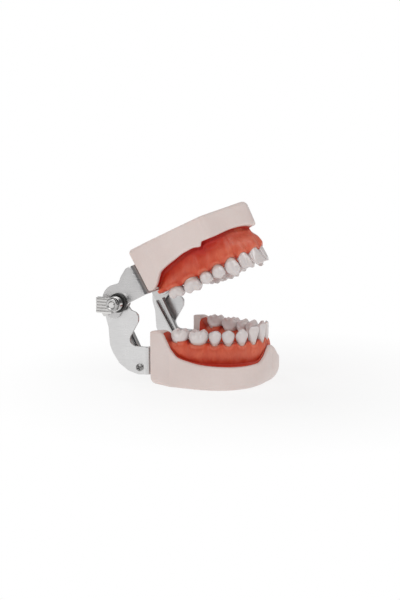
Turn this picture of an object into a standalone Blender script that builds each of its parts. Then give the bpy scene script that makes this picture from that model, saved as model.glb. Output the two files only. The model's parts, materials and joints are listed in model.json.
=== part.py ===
"""Typodont model: a practice jaw with 28 removable teeth on a hinged sheet-metal frame.

Frame: front teeth towards -Y, hinge towards +Y, +Z up, the model's own right side at -X.
The origin is on the flat underside of the lower base, on the mid-plane, under the lower incisors.
The upper jaw is modelled closed and hangs from an empty on the hinge axis, which opens it.
All dimensions are millimetres; objects are in metres.
"""

import math
from types import SimpleNamespace

import bmesh
import bpy
from mathutils import Matrix, Vector

# ---------------------------------------------------------------- shared dimensions (mm)
MM = 0.001
GAP = 0.35  # clearance between separate pieces
SIDES = ((-1, "right"), (1, "left"))

HINGE = (49.4, 45.3)  # (y, z) of the hinge axis, parallel to X
REST_OPEN = 26.0  # degrees the jaw stands open at rest
CLOSED_TOP = 69.6  # the upper base's flat top, with the jaw closed
FOOT = 0.6  # depth of the lower base's underside below the height datum
FORWARD = 23.35  # distance of the origin in front of the y datum

SPLIT_Y = -2.0  # behind this the arch runs straight back, in front it fans out
LOWER_REAR_Y = 30.5
UPPER_REAR_Y = 29.6  # at height LEAN_Z, closed
LEAN_Z = 52.0
REAR_LEAN = 0.085  # the upper rear face's lean backwards, per unit of height

SHEET = 1.5  # bracket sheet thickness
# distances from the mid-plane
ARM_IN, ARM_OUT = 28.2, 29.7
LUG_IN, LUG_OUT = 30.0, 31.5
BAIL_IN, BAIL_OUT = 25.4, 26.6

AXLE_R = 2.0
AXLE_BORE_R = AXLE_R + GAP
ARM_BORE_R = 3.9  # hinge hole in the lower arms, around a bush


def clamp(t):
    return max(0.0, min(1.0, t))


def ease(t):
    return t * t * (3 - 2 * t)


def soft_min(values, softness):
    """Minimum whose change from one value to the next is rounded over."""
    return -softness * math.log(sum(math.exp(-value / softness) for value in values))


def along(table, a):
    """Smooth value of a (station, value) table at station a."""
    if a <= table[0][0]:
        return table[0][1]
    for (a0, v0), (a1, v1) in zip(table, table[1:]):
        if a <= a1:
            return v0 + (v1 - v0) * ease((a - a0) / (a1 - a0))
    return table[-1][1]


# ---------------------------------------------------------------- jaw tables
# Station number a: the distance behind SPLIT_Y on the straight legs, and minus the fan angle
# in degrees round the front (-90 is the mid-plane).
BASE_HALF_WIDTH = 32.5


def lower_outline(a):
    """Distance of the lower outer wall: straight sides, chamfered rear corners, round front."""
    if a >= 0:
        return BASE_HALF_WIDTH - max(0.0, SPLIT_Y + a - 17.0) * 0.215
    bulge = 0.7 * math.sin(math.radians(-a) * 2)
    return BASE_HALF_WIDTH + bulge - 2.7 * (-a / 90.0) ** 2


def upper_outline(a):
    """Distance of the upper outer wall: straight sides and two facets that form a blunt nose."""
    if a >= 0:
        return BASE_HALF_WIDTH - max(0.0, SPLIT_Y + a - 19.0) * 0.13
    # each facet's ends, in front of SPLIT_Y: on the side wall, and on the mid-plane
    facet_side, facet_middle, nose = 17.5, 32.2, 32.0
    cos, sin = math.cos(math.radians(-a)), math.sin(math.radians(-a))
    slope = facet_middle - facet_side
    facet = BASE_HALF_WIDTH * facet_middle / (slope * cos + BASE_HALF_WIDTH * sin)
    walls = (BASE_HALF_WIDTH / max(1e-6, cos), facet, nose / max(1e-6, sin))
    return soft_min(walls, 1.4)


# arch: |x| against y, a catenary y = y0 + k (cosh(x / b) - 1), with |x| held below 'most'
# skirt_inset, skirt_lift: the rounded lower edge of the wall, as (side, more in front, more behind)
# skirt_front: the station where the front share starts, and how many stations it takes
# rim: height of the base's edge; crest: height of the gum's ridge
# tooth_sizes: width, depth, crown height, lean outwards
LOWER = SimpleNamespace(
    word="lower", upper=False, foot=-FOOT, rear=LOWER_REAR_Y, outline=lower_outline,
    wall_y=22.9,  # the gum ends here, against the base's rear wall
    ridge=(3.2, 5.0),  # half thickness at the front and at the molars
    fan=[12, 25, 38, 51, 64, 77],
    arch=dict(y0=-26.0, k=12.7, b=12.0, most=25.0),
    skirt_inset=(1.2, 5.0, 1.4), skirt_lift=(1.4, 7.6, 3.0), skirt_front=(5, 75.0),
    rim=((-90, 22.0), (-84, 20.6), (-76, 17.0), (-64, 13.8), (-40, 13.0), (0, 13.6), (7, 14.6),
         (14.5, 16.6), (19, 21.0), (22, 25.6), (24.6, 29.4), (27, 30.3), (40, 29.0)),
    crest=((-90, 24.0), (-60, 23.6), (-30, 23.4), (4, 23.4), (21, 24.2), (22.3, 25.8),
           (23.6, 28.0), (25, 29.4), (40, 29.8)),
    tooth_sizes=((5.2, 6.0, 10.2, 0.0), (5.7, 6.2, 10.0, 0.2), (6.6, 7.2, 10.0, 0.3),
                 (6.9, 7.4, 9.4, 0.2), (7.0, 7.9, 9.0, 0.0), (11.0, 9.8, 9.2, -0.3),
                 (10.0, 9.0, 8.2, -0.4)),
    extra_gaps=(0.0, 0.1, 0.3, 0.15, 0.1, 0.0, 0.0),
)
UPPER = SimpleNamespace(
    word="upper", upper=True, foot=0.0, rear=UPPER_REAR_Y, outline=upper_outline,
    wall_y=24.2,
    ridge=(3.4, 5.5),
    fan=[10, 18, 21.5, 30, 41, 52, 64, 77],
    arch=dict(y0=-27.7, k=6.4, b=10.0, most=26.4),
    skirt_inset=(0.8, 1.2, 0.8), skirt_lift=(0.8, 1.4, 1.2), skirt_front=(-15, 60.0),
    rim=((-90, 15.0), (-82, 13.8), (-74, 13.0), (-56, 12.4), (-30, 13.1), (-21.5, 13.0),
         (-18, 15.2), (-10, 14.2), (0, 14.4), (6.8, 15.6), (18, 18.4), (21, 21.0),
         (24.5, 24.4), (28, 25.9), (40, 25.9)),
    crest=((-90, 25.0), (-60, 25.6), (-30, 27.2), (4, 28.0), (14, 29.2), (40, 29.4)),
    tooth_sizes=((8.4, 6.9, 10.4, 0.7), (6.6, 6.2, 9.4, 0.6), (7.6, 7.8, 9.6, 0.5),
                 (7.0, 8.6, 7.8, 0.4), (6.8, 8.6, 7.4, 0.3), (10.2, 10.2, 7.4, 0.3),
                 (9.4, 9.6, 6.2, 0.3)),
    extra_gaps=(0.0, 0.1, 0.3, 0.2, 0.1, 0.0, 0.0),
)
LEGS = [0.0, 6.0, 12.0, 16.0, 18.5, 20.5, 22.5]  # stations on the straight legs


# ---------------------------------------------------------------- scene helpers
for old in list(bpy.data.objects):
    bpy.data.objects.remove(old, do_unlink=True)


def material(name, colour, roughness, metallic=0.0):
    made = bpy.data.materials.new(name)
    made.use_nodes = True
    shader = made.node_tree.nodes["Principled BSDF"]
    shader.inputs["Base Color"].default_value = (*colour, 1.0)
    shader.inputs["Roughness"].default_value = roughness
    shader.inputs["Metallic"].default_value = metallic
    return made


BASE_MAT = material("base_resin", colour=(0.66, 0.56, 0.52), roughness=0.45)
GUM_MAT = material("gum_silicone", colour=(0.60, 0.10, 0.045), roughness=0.35)
TOOTH_MAT = material("tooth_resin", colour=(0.72, 0.66, 0.63), roughness=0.18)
STEEL_MAT = material("satin_steel", colour=(0.62, 0.61, 0.60), roughness=0.32, metallic=1.0)
BRIGHT_MAT = material("bright_steel", colour=(0.72, 0.72, 0.72), roughness=0.15, metallic=1.0)
DARK_MAT = material("dark_bush", colour=(0.02, 0.02, 0.02), roughness=0.4)


def empty(name, at, parent=None):
    made = bpy.data.objects.new(name, None)
    made.location = Vector(at) * MM
    made.parent = parent
    bpy.context.scene.collection.objects.link(made)
    return made


model = empty("model", (0, FORWARD, FOOT))
hinge = empty("hinge_axis", (0, *HINGE), model)
hinge.rotation_euler = (math.radians(-REST_OPEN), 0, 0)
lever_axis = empty("lever_axis", (0, 0, 0), hinge)
# body: its empty, and where that empty is with the jaw closed
BODIES = {
    "lower": (model, Vector((0, 0, 0))),
    "upper": (hinge, Vector((0, *HINGE))),
    "lever": (lever_axis, Vector((0, *HINGE))),
}


def face_outwards(bm):
    bmesh.ops.recalc_face_normals(bm, faces=bm.faces)
    if bm.calc_volume(signed=True) < 0:
        bmesh.ops.reverse_faces(bm, faces=bm.faces)


def add(name, bm, origin, mat, body, sharp=30.0, helper=False):
    """One object from a bmesh in closed-jaw millimetres, with its origin where given.
    sharp is the angle in degrees above which an edge shows; a helper isn't rendered."""
    parent, parent_at = BODIES[body]
    bmesh.ops.remove_doubles(bm, verts=bm.verts, dist=1e-4)
    bmesh.ops.dissolve_degenerate(bm, dist=1e-5, edges=bm.edges)
    face_outwards(bm)
    origin = Vector(origin)
    bmesh.ops.translate(bm, verts=bm.verts, vec=-origin)
    bmesh.ops.scale(bm, verts=bm.verts, vec=(MM, MM, MM))
    mesh = bpy.data.meshes.new(name)
    bm.to_mesh(mesh)
    bm.free()
    mesh.materials.append(mat)
    made = bpy.data.objects.new(name, mesh)
    made.parent = parent
    made.location = (origin - parent_at) * MM
    bpy.context.scene.collection.objects.link(made)
    if helper:
        made.hide_render = True
        made.display_type = "WIRE"
    else:
        mesh.shade_smooth()
        mesh.set_sharp_from_angle(angle=math.radians(sharp))
    return made


def boolean(target, other, operation="DIFFERENCE"):
    step = target.modifiers.new(other.name, "BOOLEAN")
    step.operation = operation
    step.solver = "EXACT"
    step.object = other


def join(target, name, bm, origin, mat, body):
    """Adds a helper and unites it with the target."""
    boolean(target, add(name, bm, origin, mat, body, helper=True), "UNION")


def merge(into, other):
    """Moves one bmesh's faces to another, as separate volumes."""
    carrier = bpy.data.meshes.new("carrier")
    face_outwards(other)
    other.to_mesh(carrier)
    other.free()
    into.from_mesh(carrier)
    bpy.data.meshes.remove(carrier)


# ---------------------------------------------------------------- solids
def skin(rings, skip=None):
    """A bmesh with faces between successive rings, open at both ends, and its rows of vertices.
    The strip that starts at point 'skip' of each ring is left out."""
    bm = bmesh.new()
    rows = [[bm.verts.new(point) for point in ring] for ring in rings]
    count = len(rows[0])
    for a, b in zip(rows, rows[1:]):
        for i in range(count):
            if i == skip:
                continue
            j = (i + 1) % count
            bm.faces.new((a[i], a[j], b[j], b[i]))
    return bm, rows


def sweep(rings, joined_at_middle=False):
    """A solid through rings of points; its two end rings are capped.
    joined_at_middle leaves out the strip on the mid-plane, where the rings' halves meet."""
    skip = None
    if joined_at_middle:
        skip = next(i for i, point in enumerate(rings[0]) if abs(point[0]) < 1e-6)
    bm, rows = skin(rings, skip)
    bm.faces.new(rows[0])
    bm.faces.new(list(reversed(rows[-1])))
    return bm


def prism(points, x0, x1):
    """A plate with its outline in (y, z), between two x planes."""
    return sweep([[(x, y, z) for y, z in points] for x in (x0, x1)])


def box(x0, x1, y0, y1, z0, z1):
    return prism([(y0, z0), (y1, z0), (y1, z1), (y0, z1)], x0, x1)


def arc(centre, r, from_deg, to_deg, count):
    """Points of an arc in (y, z), both ends included."""
    angles = [math.radians(from_deg + (to_deg - from_deg) * k / (count - 1)) for k in range(count)]
    return [(centre[0] + r * math.cos(t), centre[1] + r * math.sin(t)) for t in angles]


def turned_x(profile, centre, sides):
    """A solid of revolution about an axis along x through centre (y, z), from (x, r) pairs.
    The profile starts and ends on the axis, or closes up clear of it."""
    bm = bmesh.new()
    turns = [2 * math.pi * k / sides for k in range(sides)]
    rows = []
    for x, r in profile:
        if r > 1e-6:
            ring = [(x, centre[0] + r * math.cos(t), centre[1] + r * math.sin(t)) for t in turns]
        else:
            ring = [(x, *centre)]
        rows.append([bm.verts.new(point) for point in ring])
    closed = profile[0][1] > 1e-6
    pairs = list(zip(rows, rows[1:]))
    if closed:
        pairs.append((rows[-1], rows[0]))
    for a, b in pairs:
        for i in range(sides):
            j = (i + 1) % sides
            if len(a) == 1:
                bm.faces.new((a[0], b[i], b[j]))
            elif len(b) == 1:
                bm.faces.new((a[i], a[j], b[0]))
            else:
                bm.faces.new((a[i], a[j], b[j], b[i]))
    return bm


def turned(profile, at, direction, sides):
    """A solid of revolution from (distance, r) pairs, its axis from 'at' along 'direction'."""
    bm = turned_x(profile, (0, 0), sides)
    turn = Vector((1, 0, 0)).rotation_difference(direction).to_matrix().to_4x4()
    bmesh.ops.transform(bm, verts=bm.verts, matrix=Matrix.Translation(at) @ turn)
    return bm


FLIP = Matrix.Translation((0, 0, CLOSED_TOP)) @ Matrix.Diagonal((1, 1, -1, 1))


def flip_z(bm):
    """Turns a piece from the upper jaw's own upward frame to its closed place."""
    bmesh.ops.transform(bm, verts=bm.verts, matrix=FLIP)


# ---------------------------------------------------------------- stations round the arch
def place(station, r):
    """(x, y) of the point at distance r on the line of a station (side, a)."""
    side, a = station
    if a >= 0:
        return side * r, SPLIT_Y + a
    fan = math.radians(-a)
    return side * r * math.cos(fan), SPLIT_Y - r * math.sin(fan)


def station_of(x, y):
    """The station number of a point."""
    if y >= SPLIT_Y:
        return y - SPLIT_Y
    return -math.degrees(math.atan2(SPLIT_Y - y, abs(x)))


def stations(rear, legs, fan):
    """From the right rear (-X) round the front to the left rear, as (side, a)."""
    half = sorted(legs + [rear - SPLIT_Y], reverse=True) + [-f for f in fan]
    return [(-1, a) for a in half] + [(-1, -90.0)] + [(1, a) for a in reversed(half)]


def arch_r(arch, a):
    """Distance of the arch curve on station number a."""
    y0, k, b = arch["y0"], arch["k"], arch["b"]
    if a >= 0:
        x = b * math.acosh((SPLIT_Y + a - y0) / k + 1.0)
        return soft_min((x, arch["most"]), 1.6)
    low, high = 5.0, 45.0
    for _ in range(50):
        mid = (low + high) / 2
        x, y = place((1, a), mid)
        if y > y0 + k * (math.cosh(x / b) - 1.0):
            low = mid
        else:
            high = mid
    return (low + high) / 2


# ---------------------------------------------------------------- teeth
TOOTH_SIDES = 10
TOOTH_GAP = 0.34
ROOT_DEPTH = 8.0
ROOT_TAPER = 0.2 / ROOT_DEPTH
SOCKET_ABOVE = 3.0  # how far a socket's cutter reaches above its tooth's root

# name, crown family, slope of the root towards the tongue; from the mid-plane backwards
TEETH = (
    ("central_incisor", "incisor", 0.16),
    ("lateral_incisor", "incisor", 0.14),
    ("canine", "canine", 0.08),
    ("first_premolar", "premolar", 0.0),
    ("second_premolar", "premolar", 0.0),
    ("first_molar", "molar", 0.0),
    ("second_molar", "molar", 0.0),
)
# power: exponent of the superellipse, lower is squarer; dip: depth of the biting face's middle
# rings: shares of height, width and depth, and the shift outwards as a share of the depth
CROWNS = {
    "incisor": dict(power=0.82, dip=0.0, rings=(
        (0.0, 0.72, 0.86, 0.00), (0.28, 0.88, 0.88, 0.03),
        (0.66, 1.00, 0.56, 0.17), (1.0, 0.96, 0.20, 0.31))),
    "canine": dict(power=0.82, dip=-0.3, rings=(
        (0.0, 0.70, 0.84, 0.00), (0.28, 0.92, 0.94, 0.02),
        (0.66, 1.00, 0.66, 0.12), (1.0, 0.52, 0.22, 0.24))),
    "premolar": dict(power=0.72, dip=0.9, rings=(
        (0.0, 0.70, 0.84, 0.0), (0.34, 0.95, 1.00, 0.0),
        (0.74, 1.00, 0.92, 0.0), (1.0, 0.68, 0.60, 0.0))),
    "molar": dict(power=0.72, dip=1.1, rings=(
        (0.0, 0.80, 0.84, 0.0), (0.34, 0.97, 1.00, 0.0),
        (0.76, 1.00, 0.92, 0.0), (1.0, 0.80, 0.66, 0.0))),
}


def superellipse(width, depth, power):
    out = []
    for k in range(TOOTH_SIDES):
        t = 2 * math.pi * (k + 0.5) / TOOTH_SIDES
        cos, sin = math.cos(t), math.sin(t)
        out.append((width / 2 * math.copysign(abs(cos) ** power, cos),
                    depth / 2 * math.copysign(abs(sin) ** power, sin)))
    return out


def edge_drop(family, x, y):
    """How far the crown's top ring drops at a point; x and y are shares of width and depth."""
    if family == "canine":
        return 1.6 * abs(x)
    if family == "premolar":
        return 1.4 * abs(x) + (0.5 if y < 0 else 0.0)
    if family == "molar":
        return 0.9 * (1 - min(1.0, 3.2 * abs(x))) + 0.5 * (1 - min(1.0, 3.6 * abs(y)))
    return 0.0


def crown_rings(family, size):
    """Rings of a crown, local x along the arch, y outwards, z to the biting edge."""
    width, depth, height, lean = size
    crown = CROWNS[family]
    rings = []
    for up, wide, deep, shift in crown["rings"]:
        ring = []
        for x, y in superellipse(width * wide, depth * deep, crown["power"]):
            z = height * up
            if up == 1.0:
                z -= edge_drop(family, x / width, y / depth)
            ring.append((x, y + shift * depth + lean * up, z))
        rings.append(ring)
    return rings


def root_ring(size, inward, z, clearance=0.0):
    """Section of a tapered root at height z, grown by the clearance all round."""
    width, depth = size[:2]
    scale = 1.0 + ROOT_TAPER * z
    plan = superellipse(width * 0.5 * scale + 2 * clearance, depth * 0.52 * scale + 2 * clearance,
                        power=0.8)
    return [(x, y + inward * z, z) for x, y in plan]


def tooth_mesh(family, inward, size):
    roots = [root_ring(size, inward, z) for z in (-ROOT_DEPTH, 0.0)]
    bm, rows = skin(roots + crown_rings(family, size))
    bm.faces.new(rows[0])
    top = rows[-1]
    dip = CROWNS[family]["dip"]
    if dip:
        centre = sum((v.co for v in top), Vector()) / TOOTH_SIDES
        hub = bm.verts.new((centre.x, centre.y, centre.z - dip))
        for i in range(TOOTH_SIDES):
            bm.faces.new((top[i], top[(i + 1) % TOOTH_SIDES], hub))
    else:
        bm.faces.new(top)
    return bm


def socket_mesh(inward, size):
    """The cutter of a tooth's socket: its root with clearance all round."""
    return sweep([root_ring(size, inward, z, GAP) for z in (SOCKET_ABOVE, -ROOT_DEPTH - GAP)])


def arch_points(arch):
    """The arch curve from the mid-plane backwards, finely, as (x, y, run)."""
    out, run, last = [], 0.0, None
    for a in [-90 + 0.1 * k for k in range(900)] + [0.02 * k for k in range(1400)]:
        x, y = place((1, a), arch_r(arch, a))
        if last:
            run += math.hypot(x - last[0], y - last[1])
        out.append((x, y, run))
        last = (x, y)
    return out


def tooth_places(jaw):
    """(x, y, heading) of each tooth on the +X side; heading is the direction of 'outwards'."""
    points = arch_points(jaw.arch)
    reach = 30  # points to either side that give the curve's direction
    start, out = TOOTH_GAP / 2, []
    for (width, *_), extra in zip(jaw.tooth_sizes, jaw.extra_gaps):
        middle = start + width / 2
        start += width + TOOTH_GAP + extra
        i = min(range(len(points)), key=lambda k: abs(points[k][2] - middle))
        before, after = points[max(0, i - reach)], points[min(len(points) - 1, i + reach)]
        x, y, _ = points[i]
        out.append((x, y, math.atan2(before[0] - after[0], after[1] - before[1])))
    return out


def neck_height(jaw, width, x, y, heading):
    """Height of a tooth's neck: just clear of the highest gum along its width."""
    spread = width * 0.46
    heights = []
    for step in (-1, -0.5, 0, 0.5, 1):
        near_x = x - math.sin(heading) * step * spread
        near_y = y + math.cos(heading) * step * spread
        heights.append(along(jaw.crest, station_of(near_x, near_y)))
    return max(heights) + GAP


def put_tooth(bm, jaw, at, heading):
    """Moves local tooth axes to the jaw, with y along the heading."""
    turn = Matrix.Rotation(heading - math.pi / 2, 4, "Z")
    bmesh.ops.transform(bm, verts=bm.verts, matrix=Matrix.Translation(at) @ turn)
    if jaw.upper:
        flip_z(bm)


def build_teeth(jaw):
    """Adds one jaw's teeth; returns their socket cutters in one bmesh."""
    cutters = bmesh.new()
    places = tooth_places(jaw)
    for side, side_word in SIDES:
        for (name, family, inward), size, (x, y, heading) in zip(TEETH, jaw.tooth_sizes, places):
            z = neck_height(jaw, size[0], x, y, heading)
            turn = heading if side > 0 else math.pi - heading
            tooth = tooth_mesh(family, inward, size)
            put_tooth(tooth, jaw, (side * x, y, z), turn)
            origin = (side * x, y, CLOSED_TOP - z if jaw.upper else z)
            add(f"{jaw.word}_{side_word}_{name}", tooth, origin, TOOTH_MAT, jaw.word, sharp=50)
            cutter = socket_mesh(inward, size)
            put_tooth(cutter, jaw, (side * x, y, z), turn)
            merge(cutters, cutter)
    return cutters


# ---------------------------------------------------------------- bases and gums
# Rings are drawn as (distance, height) on a station's line, in the jaw's own upward frame.
SEAT_INSET = 3.0  # the gum's seat, inside the outer wall
PALATE = 14.6  # height of the upper base's palate
PALATE_INSET = 7.0  # the palate's edge, inside the ridge
LEDGE = 12.0  # height of the lower base's ledge on the tongue side


def section(jaw, a):
    """The distances and heights that the base and the gum share at station number a."""
    narrow, wide = jaw.ridge
    wall = jaw.outline(a)
    rim, crest = along(jaw.rim, a), along(jaw.crest, a)
    middle = arch_r(jaw.arch, a)
    half = narrow + (wide - narrow) * ease(clamp((a + 62.0) / 60.0)) + 0.7
    ridge_out = min(middle + half, wall - 3.4)
    ridge_in = middle - half
    core = crest - 2.2  # top of the base's core, under the gum
    return SimpleNamespace(
        wall=wall, rim=rim, crest=crest, middle=middle, ridge_out=ridge_out, ridge_in=ridge_in,
        core=core, core_out=min(ridge_out - 1.7, wall - 4.8), core_in=ridge_in + 1.3,
        floor=min(rim - 3.2, core - 0.2))


def wall_profile(jaw, a, s):
    """The base's outside, from its foot up to the rim."""
    start, length = jaw.skirt_front
    front = clamp((start - a) / length)
    back = clamp((a - 20) / 9.0)
    inset, lift = [side + more_front * front + more_back * back
                   for side, more_front, more_back in (jaw.skirt_inset, jaw.skirt_lift)]
    return [(s.wall - inset, jaw.foot), (s.wall - inset * 0.3, jaw.foot + lift * 0.38),
            (s.wall, jaw.foot + lift), (s.wall, s.rim - 0.8), (s.wall - 0.9, s.rim)]


def seat_profile(jaw, s):
    """The base's inside along the gum: a groove, the ridge's core, then the tongue side."""
    seat = [(s.wall - 2.2, s.rim), (s.wall - 2.9, s.rim - 0.9), (s.wall - SEAT_INSET, s.floor),
            (s.core_out + 0.1, s.floor), (s.core_out, s.core), (s.core_in, s.core)]
    if jaw.upper:
        return seat + [(s.core_in, s.crest - 7.0), (s.ridge_in - 1.5, s.crest - 8.0),
                       (s.ridge_in - PALATE_INSET, PALATE), (0.0, PALATE), (0.0, 0.0)]
    inner = s.ridge_in - 1.0
    return seat + [(s.core_in, LEDGE), (inner, LEDGE), (inner, LEDGE - 0.1), (inner, jaw.foot)]


def rear_wall_profile(jaw, a, s):
    """The base's inside behind the gum: a solid block with a flat top."""
    if jaw.upper:
        tops = [s.wall - 2.4, s.wall - 3.2, s.wall - 4.2,
                s.middle + 3, s.middle, s.middle - 2, s.ridge_in + 1.2]
        return [(r, s.rim) for r in tops] + [
            (s.ridge_in - 1.5, s.rim - 3.5), (s.ridge_in - PALATE_INSET, PALATE),
            (0.0, PALATE), (0.0, 0.0)]
    t = min(1.0, (a - (jaw.wall_y - SPLIT_Y)) / (jaw.rear - jaw.wall_y))
    inner_top = (s.ridge_in + 2.0) * (1 - t) + 26.6 * t
    outer_top = s.wall - 2.9
    tops = [s.wall - 2.2] + [outer_top + (inner_top - outer_top) * k / 5 for k in range(6)]
    return [(r, s.rim) for r in tops] + [
        (inner_top - 0.01, 21.6), (s.ridge_in - 1.0, 20.6), (s.ridge_in - 1.0, jaw.foot)]


def lean_rear(jaw, ring):
    """Rounds off the rear face's outer edge; the upper face also leans back."""
    if jaw.upper:
        return [(x, y + (CLOSED_TOP - z - LEAN_Z) * REAR_LEAN - 1.8 * max(0.0, 1 - z / 2.0), z)
                for x, y, z in ring]
    return [(x, y - 2.4 * max(0.0, 1 - (z + FOOT) / 3.5), z) for x, y, z in ring]


def base_ring(jaw, station):
    a = station[1]
    s = section(jaw, a)
    behind_gum = a > jaw.wall_y - SPLIT_Y + 0.01
    inside = rear_wall_profile(jaw, a, s) if behind_gum else seat_profile(jaw, s)
    ring = [(*place(station, r), z) for r, z in wall_profile(jaw, a, s) + inside]
    at_rear = a >= jaw.rear - SPLIT_Y - 0.01
    return lean_rear(jaw, ring) if at_rear else ring


def gum_ring(jaw, station):
    s = section(jaw, station[1])
    crest, ridge_in, ridge_out = s.crest, s.ridge_in, s.ridge_out
    edge = s.wall - SEAT_INSET - GAP
    fold = min(s.rim - 1.5, crest - 1.6)
    # the outer skin, over the ridge
    ring = [(edge, min(s.rim - 0.3, crest - 0.4)), (min(edge, max(edge - 0.9, ridge_out + 0.1)), fold),
            (ridge_out + 0.3 * (edge - ridge_out), fold + 0.21 * (crest - fold)),
            (ridge_out + 0.15, fold + 0.6 * (crest - fold)), (ridge_out, crest - 0.8),
            (ridge_out - 0.9, crest), (ridge_in + 0.9, crest), (ridge_in, crest - 0.8)]
    # the tongue side, and back along the base
    if jaw.upper:
        under, over = PALATE + GAP + 0.3, PALATE + 2.0
        ring += [(ridge_in - 1.2, crest - 5.0), (ridge_in - 4.0, crest - 8.5),
                 (ridge_in - 9.0, over), (0.0, over), (0.0, under),
                 (ridge_in - PALATE_INSET, under), (ridge_in - 1.6, crest - 8.0 + GAP + 0.2),
                 (s.core_in - GAP - 0.1, crest - 7.0 + GAP)]
    else:
        ring += [(ridge_in - 0.4, (crest + LEDGE) / 2), (ridge_in - 0.8, LEDGE + GAP),
                 (s.core_in - GAP, LEDGE + GAP)]
    # over the core and down into the groove
    ring += [(s.core_in - GAP, s.core + GAP), (s.core_out + GAP, s.core + GAP),
             (s.core_out + 0.1 + GAP, s.floor + GAP), (edge, s.floor + GAP)]
    return [(*place(station, r), z) for r, z in ring]


def build_jaw(jaw):
    """Base, gum and teeth of one jaw; returns the base."""
    end = jaw.wall_y - SPLIT_Y
    base_legs = LEGS + [end - GAP, end - 0.02, end + 0.02, end + 2.6]
    base_line = stations(jaw.rear, base_legs, jaw.fan)
    base_bm = sweep([base_ring(jaw, station) for station in base_line], jaw.upper)
    gum_line = stations(jaw.wall_y - GAP, LEGS, jaw.fan)
    gum_bm = sweep([gum_ring(jaw, station) for station in gum_line], jaw.upper)
    origin = (0, 0, 0)
    if jaw.upper:
        flip_z(base_bm)
        flip_z(gum_bm)
        origin = (0, 0, CLOSED_TOP)
    base = add(f"{jaw.word}_base", base_bm, origin, BASE_MAT, jaw.word, sharp=35)
    gum = add(f"{jaw.word}_gum", gum_bm, origin, GUM_MAT, jaw.word, sharp=60)
    sockets = add(f"{jaw.word}_socket_cutters", build_teeth(jaw), origin, BASE_MAT, jaw.word,
                  helper=True)
    boolean(base, sockets)
    boolean(gum, sockets)
    return base


# ---------------------------------------------------------------- bores, nuts and screws
def bore_x(target, name, r, centre, body, x0=-40, x1=40, sides=16):
    """A bore along x from x0 to x1, centred on (y, z)."""
    rod = turned_x([(x0, 0.0), (x0, r), (x1, r), (x1, 0.0)], centre, sides)
    boolean(target, add(name, rod, ((x0 + x1) / 2, *centre), STEEL_MAT, body, helper=True))


def bore(target, name, at, direction, r, length, body):
    """A bore from 3 mm before 'at' to the given length beyond it."""
    rod = turned([(-3.0, 0.0), (-3.0, r), (length, r), (length, 0.0)], at, direction, 12)
    boolean(target, add(name, rod, at, STEEL_MAT, body, helper=True))


def hex_nut(name, side, near, thickness, r_out, centre, bolt_r, body):
    """A hexagon nut from x = side * near, its chamfered face 'thickness' further.
    A negative thickness runs towards the mid-plane."""
    x0, x1 = side * near, side * (near + thickness)
    chamfer = math.copysign(0.4, x1 - x0)
    profile = [(x0, 0.0), (x0, r_out), (x1 - chamfer, r_out), (x1, r_out * 0.88), (x1, 0.0)]
    nut = add(name, turned_x(profile, centre, 6), (x0, *centre), BRIGHT_MAT, body)
    bore_x(nut, name + "_bore", bolt_r + GAP, centre, body, min(x0, x1) - 1, max(x0, x1) + 1, 12)


def screw(name, at, direction, head_r, head_h, shank_r, shank_l, body):
    """A cap screw with a hexagon recess; 'at' is under the head, 'direction' along the shank."""
    profile = [(-head_h, 0.0), (-head_h, head_r * 0.82), (-head_h * 0.75, head_r), (0.0, head_r),
               (0.0, shank_r), (shank_l, shank_r), (shank_l, 0.0)]
    made = add(name, turned(profile, at, direction, 12), at, BRIGHT_MAT, body)
    outer, bottom = -head_h - 1.0, -head_h * 0.35
    recess = [(outer, 0.0), (outer, head_r * 0.5), (bottom, head_r * 0.5), (bottom, 0.0)]
    boolean(made, add(name + "_recess", turned(recess, at, direction, 6), at, BRIGHT_MAT, body,
                      helper=True))


def fasten_bracket(word, bracket, base, place_x, y, z, direction, shank_l):
    """The two screws that hold a bracket to its base, with their bores."""
    shank_r = 1.4
    direction = Vector(direction).normalized()
    for side, side_word in SIDES:
        at = (side * place_x, y, z)
        screw(f"{word}_bracket_screw_{side_word}", at, direction, head_r=2.6, head_h=1.9,
              shank_r=shank_r, shank_l=shank_l, body=word)
        bore(bracket, f"{word}_bracket_bore_{side_word}", at, direction, shank_r + GAP, 3.0, word)
        bore(base, f"{word}_base_bore_{side_word}", at, direction, shank_r + GAP,
             shank_l + 2 * GAP, word)


# ---------------------------------------------------------------- brackets
# outlines in (y, z), closed-jaw coordinates
LOWER_PLATE_Z = (4.6, 20.8)
ARM = (
    [(31.6, 4.6), (38.0, 4.3), (44.5, 6.0), (50.3, 9.7), (54.5, 15.7), (56.4, 20.1),
     (57.2, 30.4), (58.9, 36.0)]
    + arc(HINGE, 9.5, 0, 118, 8)
    + [(45.2, 51.0), (45.2, 45.0), (42.6, 41.3), (39.6, 40.3), (37.6, 38.4), (37.9, 34.8),
       (41.0, 29.5), (43.6, 24.9), (42.8, 22.2), (41.0, 20.7), (31.6, 20.6)])
ARM_SCREW = (37.0, 8.6)
ARM_SCREW_R = 1.2


def plate_pair(target, name, outline, near, far, mat, body):
    """Joins a flat plate on each side, between two distances from the mid-plane."""
    for side, word in SIDES:
        join(target, f"{name}_{word}", prism(outline, *sorted((side * near, side * far))),
             (side * far, *HINGE), mat, body)


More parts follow.
